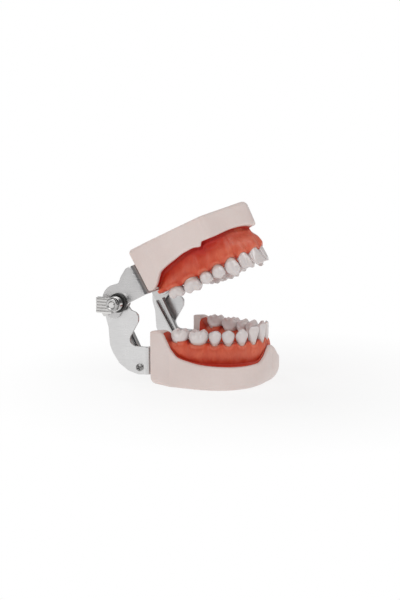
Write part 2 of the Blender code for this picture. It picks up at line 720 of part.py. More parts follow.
def build_lower_bracket(base):
    """A plate on the base's rear face with an arm up to the hinge on each side."""
    front = LOWER_REAR_Y + GAP
    middle_z = sum(LOWER_PLATE_Z) / 2
    bracket = add("lower_bracket", box(-ARM_OUT, ARM_OUT, front, front + SHEET, *LOWER_PLATE_Z),
                  (0, front, middle_z), STEEL_MAT, "lower")
    plate_pair(bracket, "lower_arm", ARM, ARM_IN, ARM_OUT, STEEL_MAT, "lower")
    bore_x(bracket, "lower_hinge_bore", ARM_BORE_R, HINGE, "lower")
    bore_x(bracket, "lower_arm_screw_bore", ARM_SCREW_R + GAP, ARM_SCREW, "lower")
    fasten_bracket("lower", bracket, base, place_x=23.5, y=front + SHEET + GAP, z=middle_z,
                   direction=(0, -1, 0), shank_l=8.5)


def build_arm_screws():
    """A screw through each lower arm, with its nut inside."""
    for side, word in SIDES:
        screw(f"arm_screw_{word}", (side * (ARM_OUT + GAP), *ARM_SCREW), Vector((-side, 0, 0)),
              head_r=2.1, head_h=1.6, shank_r=ARM_SCREW_R, shank_l=4.6, body="lower")
        hex_nut(f"arm_screw_nut_{word}", side, ARM_IN - GAP, -1.6, r_out=2.7, centre=ARM_SCREW,
                bolt_r=ARM_SCREW_R, body="lower")


def plate_front(z):
    """y of the upper bracket's front face, along the base's leaning rear face."""
    return UPPER_REAR_Y + (z - LEAN_Z) * REAR_LEAN + GAP


UPPER_LOW, UPPER_HIGH = 43.0, 61.2
UPPER_SCREW_Z = 52.5
UPPER_PLATE = [(plate_front(z) + back, z) for z, back in (
    (UPPER_LOW, 0), (UPPER_LOW, SHEET), (UPPER_HIGH, SHEET), (UPPER_HIGH, 0))]
LUG = (
    [(plate_front(UPPER_LOW) + 0.1, UPPER_LOW), (42.0, 42.7), (44.2, 42.3), (49.0, 40.6),
     (53.5, 37.9), (56.4, 38.0)]
    + arc(HINGE, 10.8, -36, 86, 9)
    + [(47.6, 55.9), (44.6, 55.2), (41.4, 58.2), (36.8, 61.0),
       (plate_front(UPPER_HIGH) + 0.1, UPPER_HIGH)])


def build_upper_bracket(base):
    """A leaning plate on the base's rear face with a side plate back to the hinge on each side."""
    front = plate_front(UPPER_SCREW_Z)
    bracket = add("upper_bracket", prism(UPPER_PLATE, -LUG_OUT, LUG_OUT), (0, front, 52),
                  STEEL_MAT, "upper")
    plate_pair(bracket, "upper_lug", LUG, LUG_IN, LUG_OUT, STEEL_MAT, "upper")
    bore_x(bracket, "upper_hinge_bore", AXLE_BORE_R, HINGE, "upper")
    fasten_bracket("upper", bracket, base, place_x=19.0, y=front + SHEET + GAP, z=UPPER_SCREW_Z,
                   direction=(0, -1, REAR_LEAN), shank_l=8.0)


# ---------------------------------------------------------------- stop bail
BAIL_FOOT_Y = (51.4, 56.0)
BAIL_FOOT_Z = (13.4, 15.0)
BAIL_LEG = (
    [(y, BAIL_FOOT_Z[0]) for y in BAIL_FOOT_Y]
    + [(56.0, 15.0), (56.2, 20.0), (58.2, 41.0), (58.6, 45.3)]
    + arc((HINGE[0] + 1.0, HINGE[1]), 8.2, 20, 150, 7)
    + [(45.2, 44.6), (48.2, 40.8), (52.3, 38.4), (51.6, 20.0), (51.5, 15.0)])
# edge of the leg, then the flange's upper and lower end in (y, z)
BAIL_FLANGES = (("front", (52.32, 38.9), (51.54, 14.2)), ("back", (56.90, 40.2), (54.84, 14.2)))
FLANGE_SHEET = 1.1
FLANGE_WIDTH = 1.6


def build_bail():
    """A U of two legs that hang from the hinge, joined by a flat strip at their feet."""
    bail = add("stop_bail", box(-BAIL_OUT, BAIL_OUT, *BAIL_FOOT_Y, *BAIL_FOOT_Z), (0, *HINGE),
               BRIGHT_MAT, "upper")
    for side, word in SIDES:
        leg = prism(BAIL_LEG, *sorted((side * BAIL_IN, side * BAIL_OUT)))
        join(bail, f"bail_leg_{word}", leg, (side * BAIL_OUT, *HINGE), BRIGHT_MAT, "upper")
        # folded flanges, turned inwards along both edges of the leg
        span = sorted((side * (BAIL_IN - FLANGE_WIDTH), side * (BAIL_OUT - 0.02)))
        for edge, (y1, z1), (y2, z2) in BAIL_FLANGES:
            outline = [(y1, z1), (y2, z2), (y2 + FLANGE_SHEET, z2), (y1 + FLANGE_SHEET, z1)]
            join(bail, f"bail_flange_{edge}_{word}", prism(outline, *span),
                 (side * BAIL_IN, y1, z1), BRIGHT_MAT, "upper")
    bore_x(bail, "bail_bore", AXLE_BORE_R, HINGE, "upper")


# ---------------------------------------------------------------- hinge hardware
# distances from the mid-plane, outwards
PLAY = 0.3  # between neighbours on the bolt
BOLT_IN = 22.4
BOLT_OUT = {"right": 40.2, "left": 36.1}
OUTER_BUSH = (LUG_OUT + PLAY, LUG_OUT + 1.4)
WASHER_AT = OUTER_BUSH[1] + PLAY
TAB_THICKNESS, FAR_WASHER_THICKNESS = 0.9, 0.8
LEVER_IN = WASHER_AT + TAB_THICKNESS + PLAY
LEVER_OUT = LEVER_IN + 3.0
OUTER_NUT_R = 4.0


def hinge_ring(name, side, near, far, r_out, mat, body="upper", r_in=AXLE_BORE_R, sides=16):
    """A bush or washer around the hinge axis."""
    x0, x1 = sorted((side * near, side * far))
    profile = [(x0, r_in), (x1, r_in), (x1, r_out), (x0, r_out)]
    add(name, turned_x(profile, HINGE, sides), (side * near, *HINGE), mat, body)


def about_hinge(points, degrees):
    """Points drawn round the hinge axis, turned and moved to it."""
    cos, sin = math.cos(math.radians(degrees)), math.sin(math.radians(degrees))
    return [(HINGE[0] + y * cos - z * sin, HINGE[1] + y * sin + z * cos) for y, z in points]


def build_pivot_bolt(side, word):
    end, chamfer = BOLT_OUT[word], 0.5
    profile = [(BOLT_IN, 0.0), (BOLT_IN, AXLE_R * 0.8), (BOLT_IN + chamfer, AXLE_R),
               (end - chamfer, AXLE_R), (end, AXLE_R * 0.8), (end, 0.0)]
    add(f"pivot_bolt_{word}", turned_x([(side * x, r) for x, r in profile], HINGE, 16),
        (side * ARM_IN, *HINGE), BRIGHT_MAT, "upper")


def build_hinge_side(side, word):
    """What both ends of the hinge have: bolt, bushes, washer and inner nut."""
    build_pivot_bolt(side, word)
    hinge_ring(f"friction_bush_{word}", side, ARM_IN + 0.1, ARM_OUT - 0.1, ARM_BORE_R - GAP,
               DARK_MAT, body="lower")
    hinge_ring(f"outer_bush_{word}", side, *OUTER_BUSH, 5.6, DARK_MAT, sides=18)
    hinge_ring(f"inner_washer_{word}", side, BAIL_OUT + PLAY, ARM_IN - PLAY, 4.4, BRIGHT_MAT)
    hex_nut(f"inner_nut_{word}", side, BAIL_IN - PLAY, -2.2, r_out=4.1, centre=HINGE,
            bolt_r=AXLE_R, body="upper")


def build_tab_washer():
    """A round washer on the right with a straight tab that points back and down at rest."""
    length, half = 11.4, 2.8
    outline = arc((0, 0), half * 1.15, 45, 315, 14) + [(length, -half), (length, half)]
    tab = add("tab_washer", prism(about_hinge(outline, -32.0 + REST_OPEN),
                                  -(WASHER_AT + TAB_THICKNESS), -WASHER_AT),
              (-WASHER_AT, *HINGE), BRIGHT_MAT, "upper")
    bore_x(tab, "tab_bore", AXLE_BORE_R, HINGE, "upper")


def build_lock_lever():
    """The lever on the right, level at rest, with grooves across its grip's end."""
    bottom, top, end, groove_pitch = -5.7, 3.4, 11.5, 1.8
    outline = arc((0, 0), 4.7, 75, 285, 12) + [(2.0, bottom), (end, bottom)]
    for k in range(5):
        z = bottom + groove_pitch * k
        outline += [(end, z + 0.3), (end, z + 1.3), (end - 0.4, z + 1.7)]
    outline += [(end, top), (3.4, top)]
    lever = add("lock_lever", prism(about_hinge(outline, REST_OPEN), -LEVER_OUT, -LEVER_IN),
                (-LEVER_IN, *HINGE), BRIGHT_MAT, "lever")
    bore_x(lever, "lever_bore", AXLE_BORE_R, HINGE, "lever", x0=-45)
    hex_nut("clamp_nut", -1, LEVER_OUT + PLAY, 2.4, r_out=OUTER_NUT_R, centre=HINGE,
            bolt_r=AXLE_R, body="lever")


def build_left_end():
    """The washer and nut on the left, opposite the lever."""
    washer_out = WASHER_AT + FAR_WASHER_THICKNESS
    hinge_ring("far_washer", 1, WASHER_AT, washer_out, 4.6, BRIGHT_MAT)
    hex_nut("far_nut", 1, washer_out + PLAY, 2.5, r_out=OUTER_NUT_R, centre=HINGE,
            bolt_r=AXLE_R, body="upper")


# ---------------------------------------------------------------- the whole model
build_lower_bracket(build_jaw(LOWER))
build_arm_screws()
build_upper_bracket(build_jaw(UPPER))
build_bail()
for hinge_side, hinge_word in SIDES:
    build_hinge_side(hinge_side, hinge_word)
build_tab_washer()
build_lock_lever()
build_left_end()
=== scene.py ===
"""Typodont: a model of both jaws on a steel hinge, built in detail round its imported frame.

The helpers work in millimetres in the closed-jaw frame: front -Y, hinge +Y, up +Z, and the
model's own right side at -X. to_world() sets the foot on the floor and opens the upper jaw
about the hinge to its rest angle. The upper jaw is shaped upside down and then turned over.
"""

import json
import math
from types import SimpleNamespace

import bmesh
import bpy
import numpy as np
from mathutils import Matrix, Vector
from mathutils.geometry import delaunay_2d_cdt


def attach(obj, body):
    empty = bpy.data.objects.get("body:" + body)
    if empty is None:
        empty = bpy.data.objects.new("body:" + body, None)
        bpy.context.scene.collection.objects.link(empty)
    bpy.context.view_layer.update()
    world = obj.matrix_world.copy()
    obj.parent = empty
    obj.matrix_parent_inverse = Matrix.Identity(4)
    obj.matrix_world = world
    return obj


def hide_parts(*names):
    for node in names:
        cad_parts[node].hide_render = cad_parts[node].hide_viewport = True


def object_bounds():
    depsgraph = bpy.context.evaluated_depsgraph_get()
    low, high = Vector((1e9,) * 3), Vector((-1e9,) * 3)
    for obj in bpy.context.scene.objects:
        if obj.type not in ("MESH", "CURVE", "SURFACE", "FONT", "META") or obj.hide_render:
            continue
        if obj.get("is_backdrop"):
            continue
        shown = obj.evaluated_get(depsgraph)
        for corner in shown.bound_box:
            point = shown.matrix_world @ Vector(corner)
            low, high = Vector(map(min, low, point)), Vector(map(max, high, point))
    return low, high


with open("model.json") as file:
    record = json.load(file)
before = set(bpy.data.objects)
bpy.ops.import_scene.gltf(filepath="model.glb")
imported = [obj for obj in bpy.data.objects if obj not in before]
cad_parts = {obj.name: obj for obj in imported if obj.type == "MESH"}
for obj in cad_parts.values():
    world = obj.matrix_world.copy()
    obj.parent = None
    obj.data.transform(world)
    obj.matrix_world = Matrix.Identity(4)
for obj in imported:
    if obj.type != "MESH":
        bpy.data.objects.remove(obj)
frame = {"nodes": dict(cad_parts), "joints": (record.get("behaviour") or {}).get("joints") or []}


def plain(value):
    """Bounds as plain numbers that json can write."""
    if isinstance(value, dict):
        return {k: plain(v) for k, v in value.items()}
    if isinstance(value, (list, tuple, Vector, np.ndarray)):
        return [plain(v) for v in value]
    return float(value) if isinstance(value, (int, float, np.floating)) else value


BEFORE = plain(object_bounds())

# ------------------------------------------------------------------ the frame
MM = 0.001
HINGE = next(joint for joint in frame["joints"] if joint["name"] == "jaw_hinge")
FOOT = 0.6                       # the lower base reaches this far below z = 0
HINGE_Y = 49.4
HINGE_Z = HINGE["pos_m"][2] * 1000.0 - FOOT
FORWARD = HINGE["pos_m"][1] * 1000.0 - HINGE_Y
REST = math.radians(HINGE["range_deg"][0])


def turned(points, angle):
    """Points turned about the hinge axis."""
    y, z = points[:, 1] - HINGE_Y, points[:, 2] - HINGE_Z
    c, s = math.cos(angle), math.sin(angle)
    return np.stack([points[:, 0], HINGE_Y + y * c - z * s, HINGE_Z + y * s + z * c], 1)


def to_world(points, body):
    points = np.array(points, float)
    if body != "lower":
        points = turned(points, REST)
    return (points + (0, FORWARD, FOOT)) * MM


def node_points(name, body):
    """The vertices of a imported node, in the closed-jaw frame."""
    points = np.array([v.co for v in frame["nodes"][name].data.vertices], float)
    points = points * 1000.0 - (0, FORWARD, FOOT)
    return points if body == "lower" else turned(points, -REST)


# ------------------------------------------------------------------ driving sizes
CLOSED_TOP = float(node_points("upper_base", "upper")[:, 2].max())
SPLIT_Y = -2.0                   # straight legs behind this line, a fan in front of it
REAR_Y, UPPER_REAR_Y = 30.5, 29.6
REAR_LEAN, LEAN_Z = 0.085, 52.0  # the upper rear face leans, and is at UPPER_REAR_Y at LEAN_Z
HALF_WIDTH = 32.5                # of both bases
PALATE = 14.6
INNER_FLOOR = 12.0               # inner foot of the lower gum
GUM_EDGE = 3.2                   # the gum starts this far inside the base's outline
GAP, SHEET = 0.35, 1.5
ARM_IN, ARM_OUT = 28.2, 29.7     # lower arm, |x| of its faces
LUG_IN, LUG_OUT = 30.0, 31.5     # upper arm
BAIL_IN, BAIL_OUT = 25.4, 26.6
AXLE_R = 2.0


# ------------------------------------------------------------------ curves
def ease(x, start=0.0, length=1.0):
    """A smooth step from 0 at start to 1 at start + length."""
    t = np.clip((x - start) / length, 0.0, 1.0)
    return t * t * (3 - 2 * t)


def bell(x, centre, width):
    return np.exp(-((x - centre) / width) ** 2)


def share(value, start, length):
    """A straight ramp from 0 at start to 1 at start + length."""
    return max(0.0, min(1.0, (value - start) / length))


def soft_min(softness, *values):
    return -softness * math.log(sum(math.exp(-v / softness) for v in values))


def quarter(steps):
    """Angles of a quarter turn."""
    return [math.pi / 2 * k / steps for k in range(steps + 1)]


def hermite(table, x):
    """A smooth curve through (x, value) entries, monotone between them, for an array of x."""
    xs, ys = np.array(table, float).T
    slopes = np.diff(ys) / np.diff(xs)
    tangents = np.zeros(len(xs))
    for i in range(1, len(xs) - 1):
        a, b = slopes[i - 1], slopes[i]
        if a * b > 0:
            tangents[i] = 2 * a * b / (a + b)
    x = np.clip(np.asarray(x, float), xs[0], xs[-1])
    i = np.clip(np.searchsorted(xs, x, side="right") - 1, 0, len(xs) - 2)
    h = xs[i + 1] - xs[i]
    u = (x - xs[i]) / h
    return ((1 + 2 * u) * (1 - u) ** 2 * ys[i] + u * (1 - u) ** 2 * h * tangents[i]
            + u * u * (3 - 2 * u) * ys[i + 1] + u * u * (u - 1) * h * tangents[i + 1])


def run_lengths(track):
    """Distance along a line of points, at each of them."""
    return np.concatenate([[0.0], np.cumsum(np.hypot(*np.diff(track, axis=0).T))])


# ------------------------------------------------------------------ the jaws
# A station says where a cross-section of a jaw stands. From 0 up it is millimetres behind
# SPLIT_Y; below 0 it is degrees round the front fan, with -90 on the mid-plane. A cross-section
# is drawn as (radius, height), with the radius measured from the mid-plane or the fan's centre.
def place(side, station, radius):
    if station >= 0:
        return side * radius, SPLIT_Y + station
    angle = math.radians(-station)
    return side * radius * math.cos(angle), SPLIT_Y - radius * math.sin(angle)


def station_list(rear, leg_step, fan_step):
    """(side, station) from the right rear round the front to the left rear."""
    legs, fans = round(rear / leg_step), round(90.0 / fan_step)
    half = [rear * (1 - k / legs) for k in range(legs)] + [-90.0 * k / fans for k in range(fans)]
    return [(-1, a) for a in half] + [(-1, -90.0)] + [(1, a) for a in reversed(half)]


def lower_outline(station):
    if station >= 0:
        return HALF_WIDTH - max(0.0, SPLIT_Y + station - 17.0) * 0.215
    bulge = 0.7 * math.sin(math.radians(-station) * 2)
    return HALF_WIDTH + bulge - 2.7 * (-station / 90.0) ** 2


def upper_outline(station):
    """Straight sides, a slanting facet and a flat nose, with softened corners."""
    if station >= 0:
        return HALF_WIDTH - max(0.0, SPLIT_Y + station - 19.0) * 0.13
    c, s = math.cos(math.radians(-station)), math.sin(math.radians(-station))
    normal_x, normal_y = 14.7, 32.5
    facet = (normal_x * HALF_WIDTH + normal_y * 17.5) / (normal_x * c + normal_y * s)
    return soft_min(1.1, HALF_WIDTH / max(1e-6, c), facet, 32.0 / max(1e-6, s))


TEETH = ("central_incisor", "lateral_incisor", "canine", "first_premolar",
         "second_premolar", "first_molar", "second_molar")
TOOTH_GAP = 0.34
# share of the depth from the tooth's axis to its neck, facial and lingual, for each tooth
NECK = ((0.36, 0.36), (0.36, 0.36), (0.38, 0.40), (0.38, 0.38), (0.38, 0.38), (0.385, 0.385),
        (0.385, 0.385))


class Jaw:
    """arch: y = front + rise * (cosh(x / spread) - 1), with |x| held under most.
    rims, crests: (station, height) of the base's rim and of the gum's crest.
    half_widths: of the tooth row, at the front and at the rear.
    teeth: a row for each of TEETH, with columns as in the tables below."""

    def __init__(self, word, arch, rims, crests, outline, rear_y, end_y, half_widths, teeth):
        self.word, self.upper = word, word == "upper"
        self.arch, self.rims, self.crests, self.outline = arch, rims, crests, outline
        self.rear, self.end = rear_y - SPLIT_Y, end_y - SPLIT_Y
        self.half_widths = half_widths
        self.teeth = self.find_teeth(teeth)

    def arch_radius(self, station):
        """Radius of the middle of the tooth row."""
        front, rise, spread = (self.arch[key] for key in ("front", "rise", "spread"))
        if station >= 0:
            x = spread * math.acosh((SPLIT_Y + station - front) / rise + 1.0)
            return soft_min(1.6, x, self.arch["most"])
        low, high = 5.0, 45.0
        for _ in range(40):
            middle = (low + high) / 2
            x, y = place(1, station, middle)
            if y - (front + rise * (math.cosh(x / spread) - 1.0)) > 0:
                low = middle
            else:
                high = middle
        return (low + high) / 2

    def half_width(self, station):
        narrow, wide = self.half_widths
        return narrow + (wide - narrow) * float(ease(station, -62.0, 60.0))

    def section(self, station):
        """Radii of the outline, the arch and the gum's two walls, heights of the rim and the
        crest, and the floor and core of the base under the gum."""
        outline, arch = self.outline(station), self.arch_radius(station)
        rim, crest = float(hermite(self.rims, station)), float(hermite(self.crests, station))
        half = self.half_width(station)
        outer, inner = min(arch + half + 0.7, outline - 3.4), arch - half - 0.7
        core = crest - 2.2
        floor = min(rim - 3.2, core - 0.2)
        core_out, core_in = min(outer - 1.7, outline - 4.8), inner + 1.3
        return outline, rim, crest, arch, outer, inner, floor, core, core_out, core_in

    def flip(self, points):
        """Turns the points of the upper jaw over, in place."""
        if self.upper:
            points[:, 2] = CLOSED_TOP - points[:, 2]
        return points

    def find_teeth(self, rows):
        """Each tooth's place, heading and size, tied to its node in the frame."""
        stations = [-90 + 0.1 * k for k in range(900)] + [0.02 * k for k in range(1400)]
        track = np.array([place(1, a, self.arch_radius(a)) for a in stations])
        runs = run_lengths(track)
        start, teeth = TOOTH_GAP / 2, []
        for kind, (width, depth, height, lean, gap, widen, cut) in enumerate(rows):
            run = start + width / 2
            start += width + TOOTH_GAP + gap
            near = int(np.argmin(abs(runs - run)))
            before, after = track[max(0, near - 30)], track[min(len(track) - 1, near + 30)]
            heading = math.atan2(before[0] - after[0], after[1] - before[1])
            for side, side_word in ((-1, "right"), (1, "left")):
                node = f"{self.word}_{side_word}_{TEETH[kind]}"
                points = self.flip(node_points(node, self.word))
                phi = heading if side > 0 else math.pi - heading
                row_direction = np.array((-math.sin(phi), math.cos(phi)))
                centre = track[near] * (side, 1)
                reach = (points[:, :2] - centre) @ row_direction
                x, y = centre + row_direction * (reach.min() + reach.max()) / 2
                teeth.append(SimpleNamespace(
                    node=node, side=side, kind=kind, run=run, phi=phi, x=x, y=y,
                    z=float(points[:, 2].max()) - height, width=width, depth=depth,
                    height=height, lean=lean, widen=widen, cut=cut))
        return teeth


LOWER = Jaw(
    "lower", arch=dict(front=-26.0, rise=12.7, spread=12.0, most=25.0),
    rims=((-90, 22.0), (-84, 20.6), (-76, 17.0), (-64, 13.8), (-40, 13.0), (0, 13.6),
          (7, 14.6), (14.5, 16.6), (19, 21.0), (22, 25.6), (24.6, 29.4), (27, 30.3), (40, 29.0)),
    crests=((-90, 24.0), (-60, 23.6), (-30, 23.4), (4, 23.4), (21, 24.2), (22.3, 25.8),
            (23.6, 28.0), (25, 29.4), (40, 29.8)),
    outline=lower_outline, rear_y=REAR_Y, end_y=22.9, half_widths=(3.2, 5.0),
    teeth=(  # width, depth, height, lean, extra gap behind, crown widened by, crown cut by
        (5.2, 6.0, 10.2, 0.0, 0.0, 0.75, 0.0),
        (5.7, 6.2, 10.0, 0.2, 0.1, 0.70, 0.4),
        (6.6, 7.2, 10.0, 0.3, 0.3, 0.50, 1.2),
        (6.9, 7.4, 9.4, 0.2, 0.15, 0.45, 0.9),
        (7.0, 7.9, 9.0, 0.0, 0.1, 0.35, 0.9),
        (11.0, 9.8, 9.2, -0.3, 0.0, 0.25, 1.5),
        (10.0, 9.0, 8.2, -0.4, 0.0, 0.25, 0.7)))
UPPER = Jaw(
    "upper", arch=dict(front=-27.7, rise=6.4, spread=10.0, most=26.4),
    rims=((-90, 15.0), (-82, 13.8), (-74, 13.0), (-56, 12.4), (-30, 13.1), (-21.5, 13.0),
          (-18, 15.2), (-10, 14.2), (0, 14.4), (6.8, 15.6), (18, 18.4), (21, 21.0),
          (24.5, 24.4), (28, 25.9), (40, 25.9)),
    crests=((-90, 25.0), (-60, 25.6), (-30, 27.2), (4, 28.0), (14, 29.2), (40, 29.4)),
    outline=upper_outline, rear_y=UPPER_REAR_Y, end_y=24.2, half_widths=(3.4, 5.5),
    teeth=(  # the same columns
        (8.4, 6.9, 10.4, 0.7, 0.0, 0.30, 0.0),
        (6.6, 6.2, 9.4, 0.6, 0.1, 0.40, 0.0),
        (7.6, 7.8, 9.6, 0.5, 0.3, 0.45, 0.0),
        (7.0, 8.6, 7.8, 0.4, 0.2, 0.60, 0.0),
        (6.8, 8.6, 7.4, 0.3, 0.1, 0.60, 0.0),
        (10.2, 10.2, 7.4, 0.3, 0.0, 0.45, 0.0),
        (9.4, 9.6, 6.2, 0.3, 0.0, 0.35, 0.0)))


# ------------------------------------------------------------------ outlines
def chaikin(lines, times):
    """Corner cutting of a stack of open lines; their ends stay."""
    for _ in range(times):
        a, b = lines[:, :-1], lines[:, 1:]
        cut = np.stack([0.75 * a + 0.25 * b, 0.25 * a + 0.75 * b], axis=2)
        cut = cut.reshape(len(lines), -1, lines.shape[-1])
        lines = np.concatenate([lines[:, :1], cut[:, 1:-1], lines[:, -1:]], axis=1)
    return lines


def fillet(points, radii, counts=6):
    """A closed 2-D polygon with rounded corners. A corner gives as many points as its count,
    or stays as one point where its radius is 0."""
    points = np.array(points, float)
    total = len(points)
    radii = np.broadcast_to(radii, total).tolist()
    counts = np.broadcast_to(counts, total).tolist()
    out = []
    for i, (corner, radius, n) in enumerate(zip(points, radii, counts)):
        if radius <= 0:
            out.append(corner)
            continue
        u, v = points[i - 1] - corner, points[(i + 1) % total] - corner
        length_u, length_v = np.linalg.norm(u), np.linalg.norm(v)
        if length_u < 1e-9 or length_v < 1e-9:
            out += [corner] * n
            continue
        u, v = u / length_u, v / length_v
        half = math.acos(max(-1.0, min(1.0, float(u @ v)))) / 2
        if half > math.radians(89.0) or half < math.radians(3):
            # nearly straight or folded back: short steps along the two edges
            reach = min(0.1, 0.3 * length_u, 0.3 * length_v)
            out += [corner + (u if k < n / 2 else v) * reach * abs(1 - 2 * k / (n - 1))
                    for k in range(n)]
            continue
        trim = min(radius / math.tan(half), 0.48 * length_u, 0.48 * length_v)
        radius = trim * math.tan(half)
        centre = corner + (u + v) / np.linalg.norm(u + v) * (radius / math.sin(half))
        start, end = corner + u * trim - centre, corner + v * trim - centre
        first = math.atan2(start[1], start[0])
        sweep = (math.atan2(end[1], end[0]) - first + math.pi) % (2 * math.pi) - math.pi
        for k in range(n):
            angle = first + sweep * k / (n - 1)
            out.append(centre + radius * np.array([math.cos(angle), math.sin(angle)]))
    return np.array(out)


def inset(outline, distance):
    """A closed 2-D polygon moved inwards along its own normals."""
    outline = np.array(outline, float)
    x, y = outline.T
    area = 0.5 * np.sum(x * np.roll(y, -1) - np.roll(x, -1) * y)
    edges = np.roll(outline, -1, 0) - outline
    lengths = np.maximum(np.linalg.norm(edges, axis=1), 1e-9)
    turn = 1 if area > 0 else -1
    normals = np.stack([-edges[:, 1], edges[:, 0]], 1) / lengths[:, None] * turn
    both = normals + np.roll(normals, 1, 0)
    size = np.maximum((both * both).sum(1), 0.5)
    return outline + both * (2 * distance / size)[:, None]


def arc(centre_y, centre_z, radius, start_deg, end_deg, count):
    angles = [math.radians(start_deg + (end_deg - start_deg) * k / (count - 1))
              for k in range(count)]
    return [(centre_y + radius * math.cos(w), centre_z + radius * math.sin(w)) for w in angles]


def about_hinge(points, angle):
    """(u, v) points about the origin, turned and moved to the hinge axis as (y, z)."""
    c, s = math.cos(angle), math.sin(angle)
    return [(HINGE_Y + u * c - v * s, HINGE_Z + u * s + v * c) for u, v in points]


# ------------------------------------------------------------------ shapes: (points, faces)
def grid_faces(rows, columns):
    """Quads between rows of points; each row closes on itself."""
    faces = []
    for i in range(rows - 1):
        a, b = i * columns, (i + 1) * columns
        for j in range(columns):
            k = (j + 1) % columns
            faces.append((a + j, a + k, b + k, b + j))
    return faces


def cap_faces(outline, first, back=False):
    """Triangles that fill a closed 2-D outline, whose points are numbered from first."""
    count = len(outline)
    points = [Vector((float(x), float(y))) for x, y in outline]
    found = delaunay_2d_cdt(points, [], [list(range(count))], 1, 1e-6)
    if len(found[0]) > count:  # the outline crosses itself: one face instead
        faces, index = [range(count)], range(count)
    else:
        faces, index = found[2], [origins[0] for origins in found[3]]
    return [tuple(first + index[i] for i in (reversed(face) if back else face))
            for face in faces]


def ring_shape(rings, caps=True):
    """A skin over equal-length rings of points."""
    rings = np.array(rings, float)
    rows, columns = rings.shape[:2]
    faces = grid_faces(rows, columns)
    if caps:
        faces.append(tuple(range(columns)))
        faces.append(tuple(reversed(range((rows - 1) * columns, rows * columns))))
    return rings.reshape(-1, 3), faces


def joined(*shapes):
    points, faces, count = [], [], 0
    for more_points, more_faces in shapes:
        points.append(more_points)
        faces += [tuple(i + count for i in face) for face in more_faces]
        count += len(more_points)
    return np.concatenate(points), faces


def bevelled_layers(outline, start, end, bevel):
    """(outline, offset) layers through a plate with quarter-round edges."""
    sign, turns = (1 if end > start else -1), quarter(3)
    layers = [(w, start + sign * bevel * (1 - math.cos(w))) for w in turns]
    layers += [(w, end - sign * bevel * (1 - math.cos(w))) for w in reversed(turns)]
    return [(inset(outline, bevel * (1 - math.sin(w))), offset) for w, offset in layers]


def plate(outline, x0, x1, bevel):
    """A plate between two x planes, with its outline in (y, z)."""
    return ring_shape([[(x, y, z) for y, z in layer]
                       for layer, x in bevelled_layers(outline, x0, x1, bevel)])


def lathe(profile, at, axis, count, reform=None, closed=False):
    """A (distance, radius) profile turned about the axis through at. reform(distance, radius,
    angle) gives the two again, changed. A closed profile goes round a ring's section."""
    axis = np.array(axis, float) / np.linalg.norm(axis)
    helper = np.array((0, 0, 1.0)) if abs(axis[2]) < 0.9 else np.array((0, 1.0, 0))
    u = np.cross(helper, axis)
    u /= np.linalg.norm(u)
    v = np.cross(axis, u)
    rings = []
    for distance, radius in (list(profile) + [profile[0]] if closed else profile):
        ring = []
        for k in range(count):
            w = 2 * math.pi * k / count
            d, r = reform(distance, radius, w) if reform else (distance, radius)
            ring.append(np.array(at) + axis * d + (u * math.cos(w) + v * math.sin(w)) * r)
        rings.append(ring)
    return ring_shape(rings, caps=not closed)


def washer(start, end, r_in, r_out, edge, at, axis, count):
    """A flat ring with rounded edges."""
    section = [(start, r_in), (end, r_in), (end, r_out), (start, r_out)]
    return lathe(fillet(section, edge, 3).tolist(), at, axis, count, closed=True)


def hexagon(flat, start=0.0):
    """Radius of a hexagon with its flats at the distance flat, as a function of angle."""
    def radius(angle):
        d = (angle - start + math.pi / 6) % (math.pi / 3) - math.pi / 6
        return flat / math.cos(d)
    return radius


def nut(start, end, corner, bore, at, axis, turn=0.0):
    """A hexagon nut with chamfered corners and a countersunk bore."""
    flat = corner * math.cos(math.pi / 6)
    hex_radius = hexagon(flat, turn)
    chamfer = (corner - flat) * 0.58
    sign = 1 if end > start else -1
    # steps in from a face and the radius there
    steps = ((0.02, flat * 0.95), (0.1, flat * 0.985),
             (0.35 * chamfer, corner - 0.55 * (corner - flat)), (chamfer, corner + 1))
    profile = [(start + sign * step, radius) for step, radius in steps]
    profile += [(end - sign * step, radius) for step, radius in reversed(steps)]
    profile += [(end, flat * 0.90), (end, bore + 0.45), (end - sign * 0.35, bore),
                (start + sign * 0.35, bore), (start, bore + 0.45), (start, flat * 0.90)]

    def flats(distance, radius, angle):
        return distance, min(radius, hex_radius(angle)) if radius > flat * 0.92 else radius
    return lathe(profile, at, axis, 96, flats, closed=True)


def thread(shank, pitch, deep):
    """A lathe reform that cuts a thread where the profile is at the shank's radius."""
    def reform(distance, radius, angle):
        if radius < shank - 0.2:
            return distance, radius
        phase = (distance / pitch + angle / (2 * math.pi)) % 1.0
        return distance, radius - deep * abs(2 * phase - 1)
    return reform


def add_piece(node, suffix, body, finish, shape, sharp=38, weighted=True, values=None):
    """Makes the object that replaces a node. finish: (material, slot); the slot is not used.
    values: {attribute: a value for each point}."""
    name = f"{node}_{suffix}"
    points, faces = shape
    material, slot = finish
    mesh = bpy.data.meshes.new(name)
    mesh.from_pydata(to_world(points, body).tolist(), [], faces)
    mesh.validate(verbose=False)
    obj = bpy.data.objects.new(name, mesh)
    bpy.context.scene.collection.objects.link(obj)
    for key, numbers in (values or {}).items():
        attribute = mesh.attributes.new(key, "FLOAT", "POINT")
        attribute.data.foreach_set("value", np.asarray(numbers, np.float32))
    bm = bmesh.new()
    bm.from_mesh(mesh)
    bmesh.ops.remove_doubles(bm, verts=bm.verts, dist=2e-6)
    bmesh.ops.recalc_face_normals(bm, faces=bm.faces)
    bm.to_mesh(mesh)
    bm.free()
    mesh.shade_smooth()
    if sharp:
        mesh.set_sharp_from_angle(angle=math.radians(sharp))
    mesh.materials.append(material)
    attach(obj, body)
    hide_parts(node)
    if weighted:
        obj.modifiers.new("normals", "WEIGHTED_NORMAL").keep_sharp = True


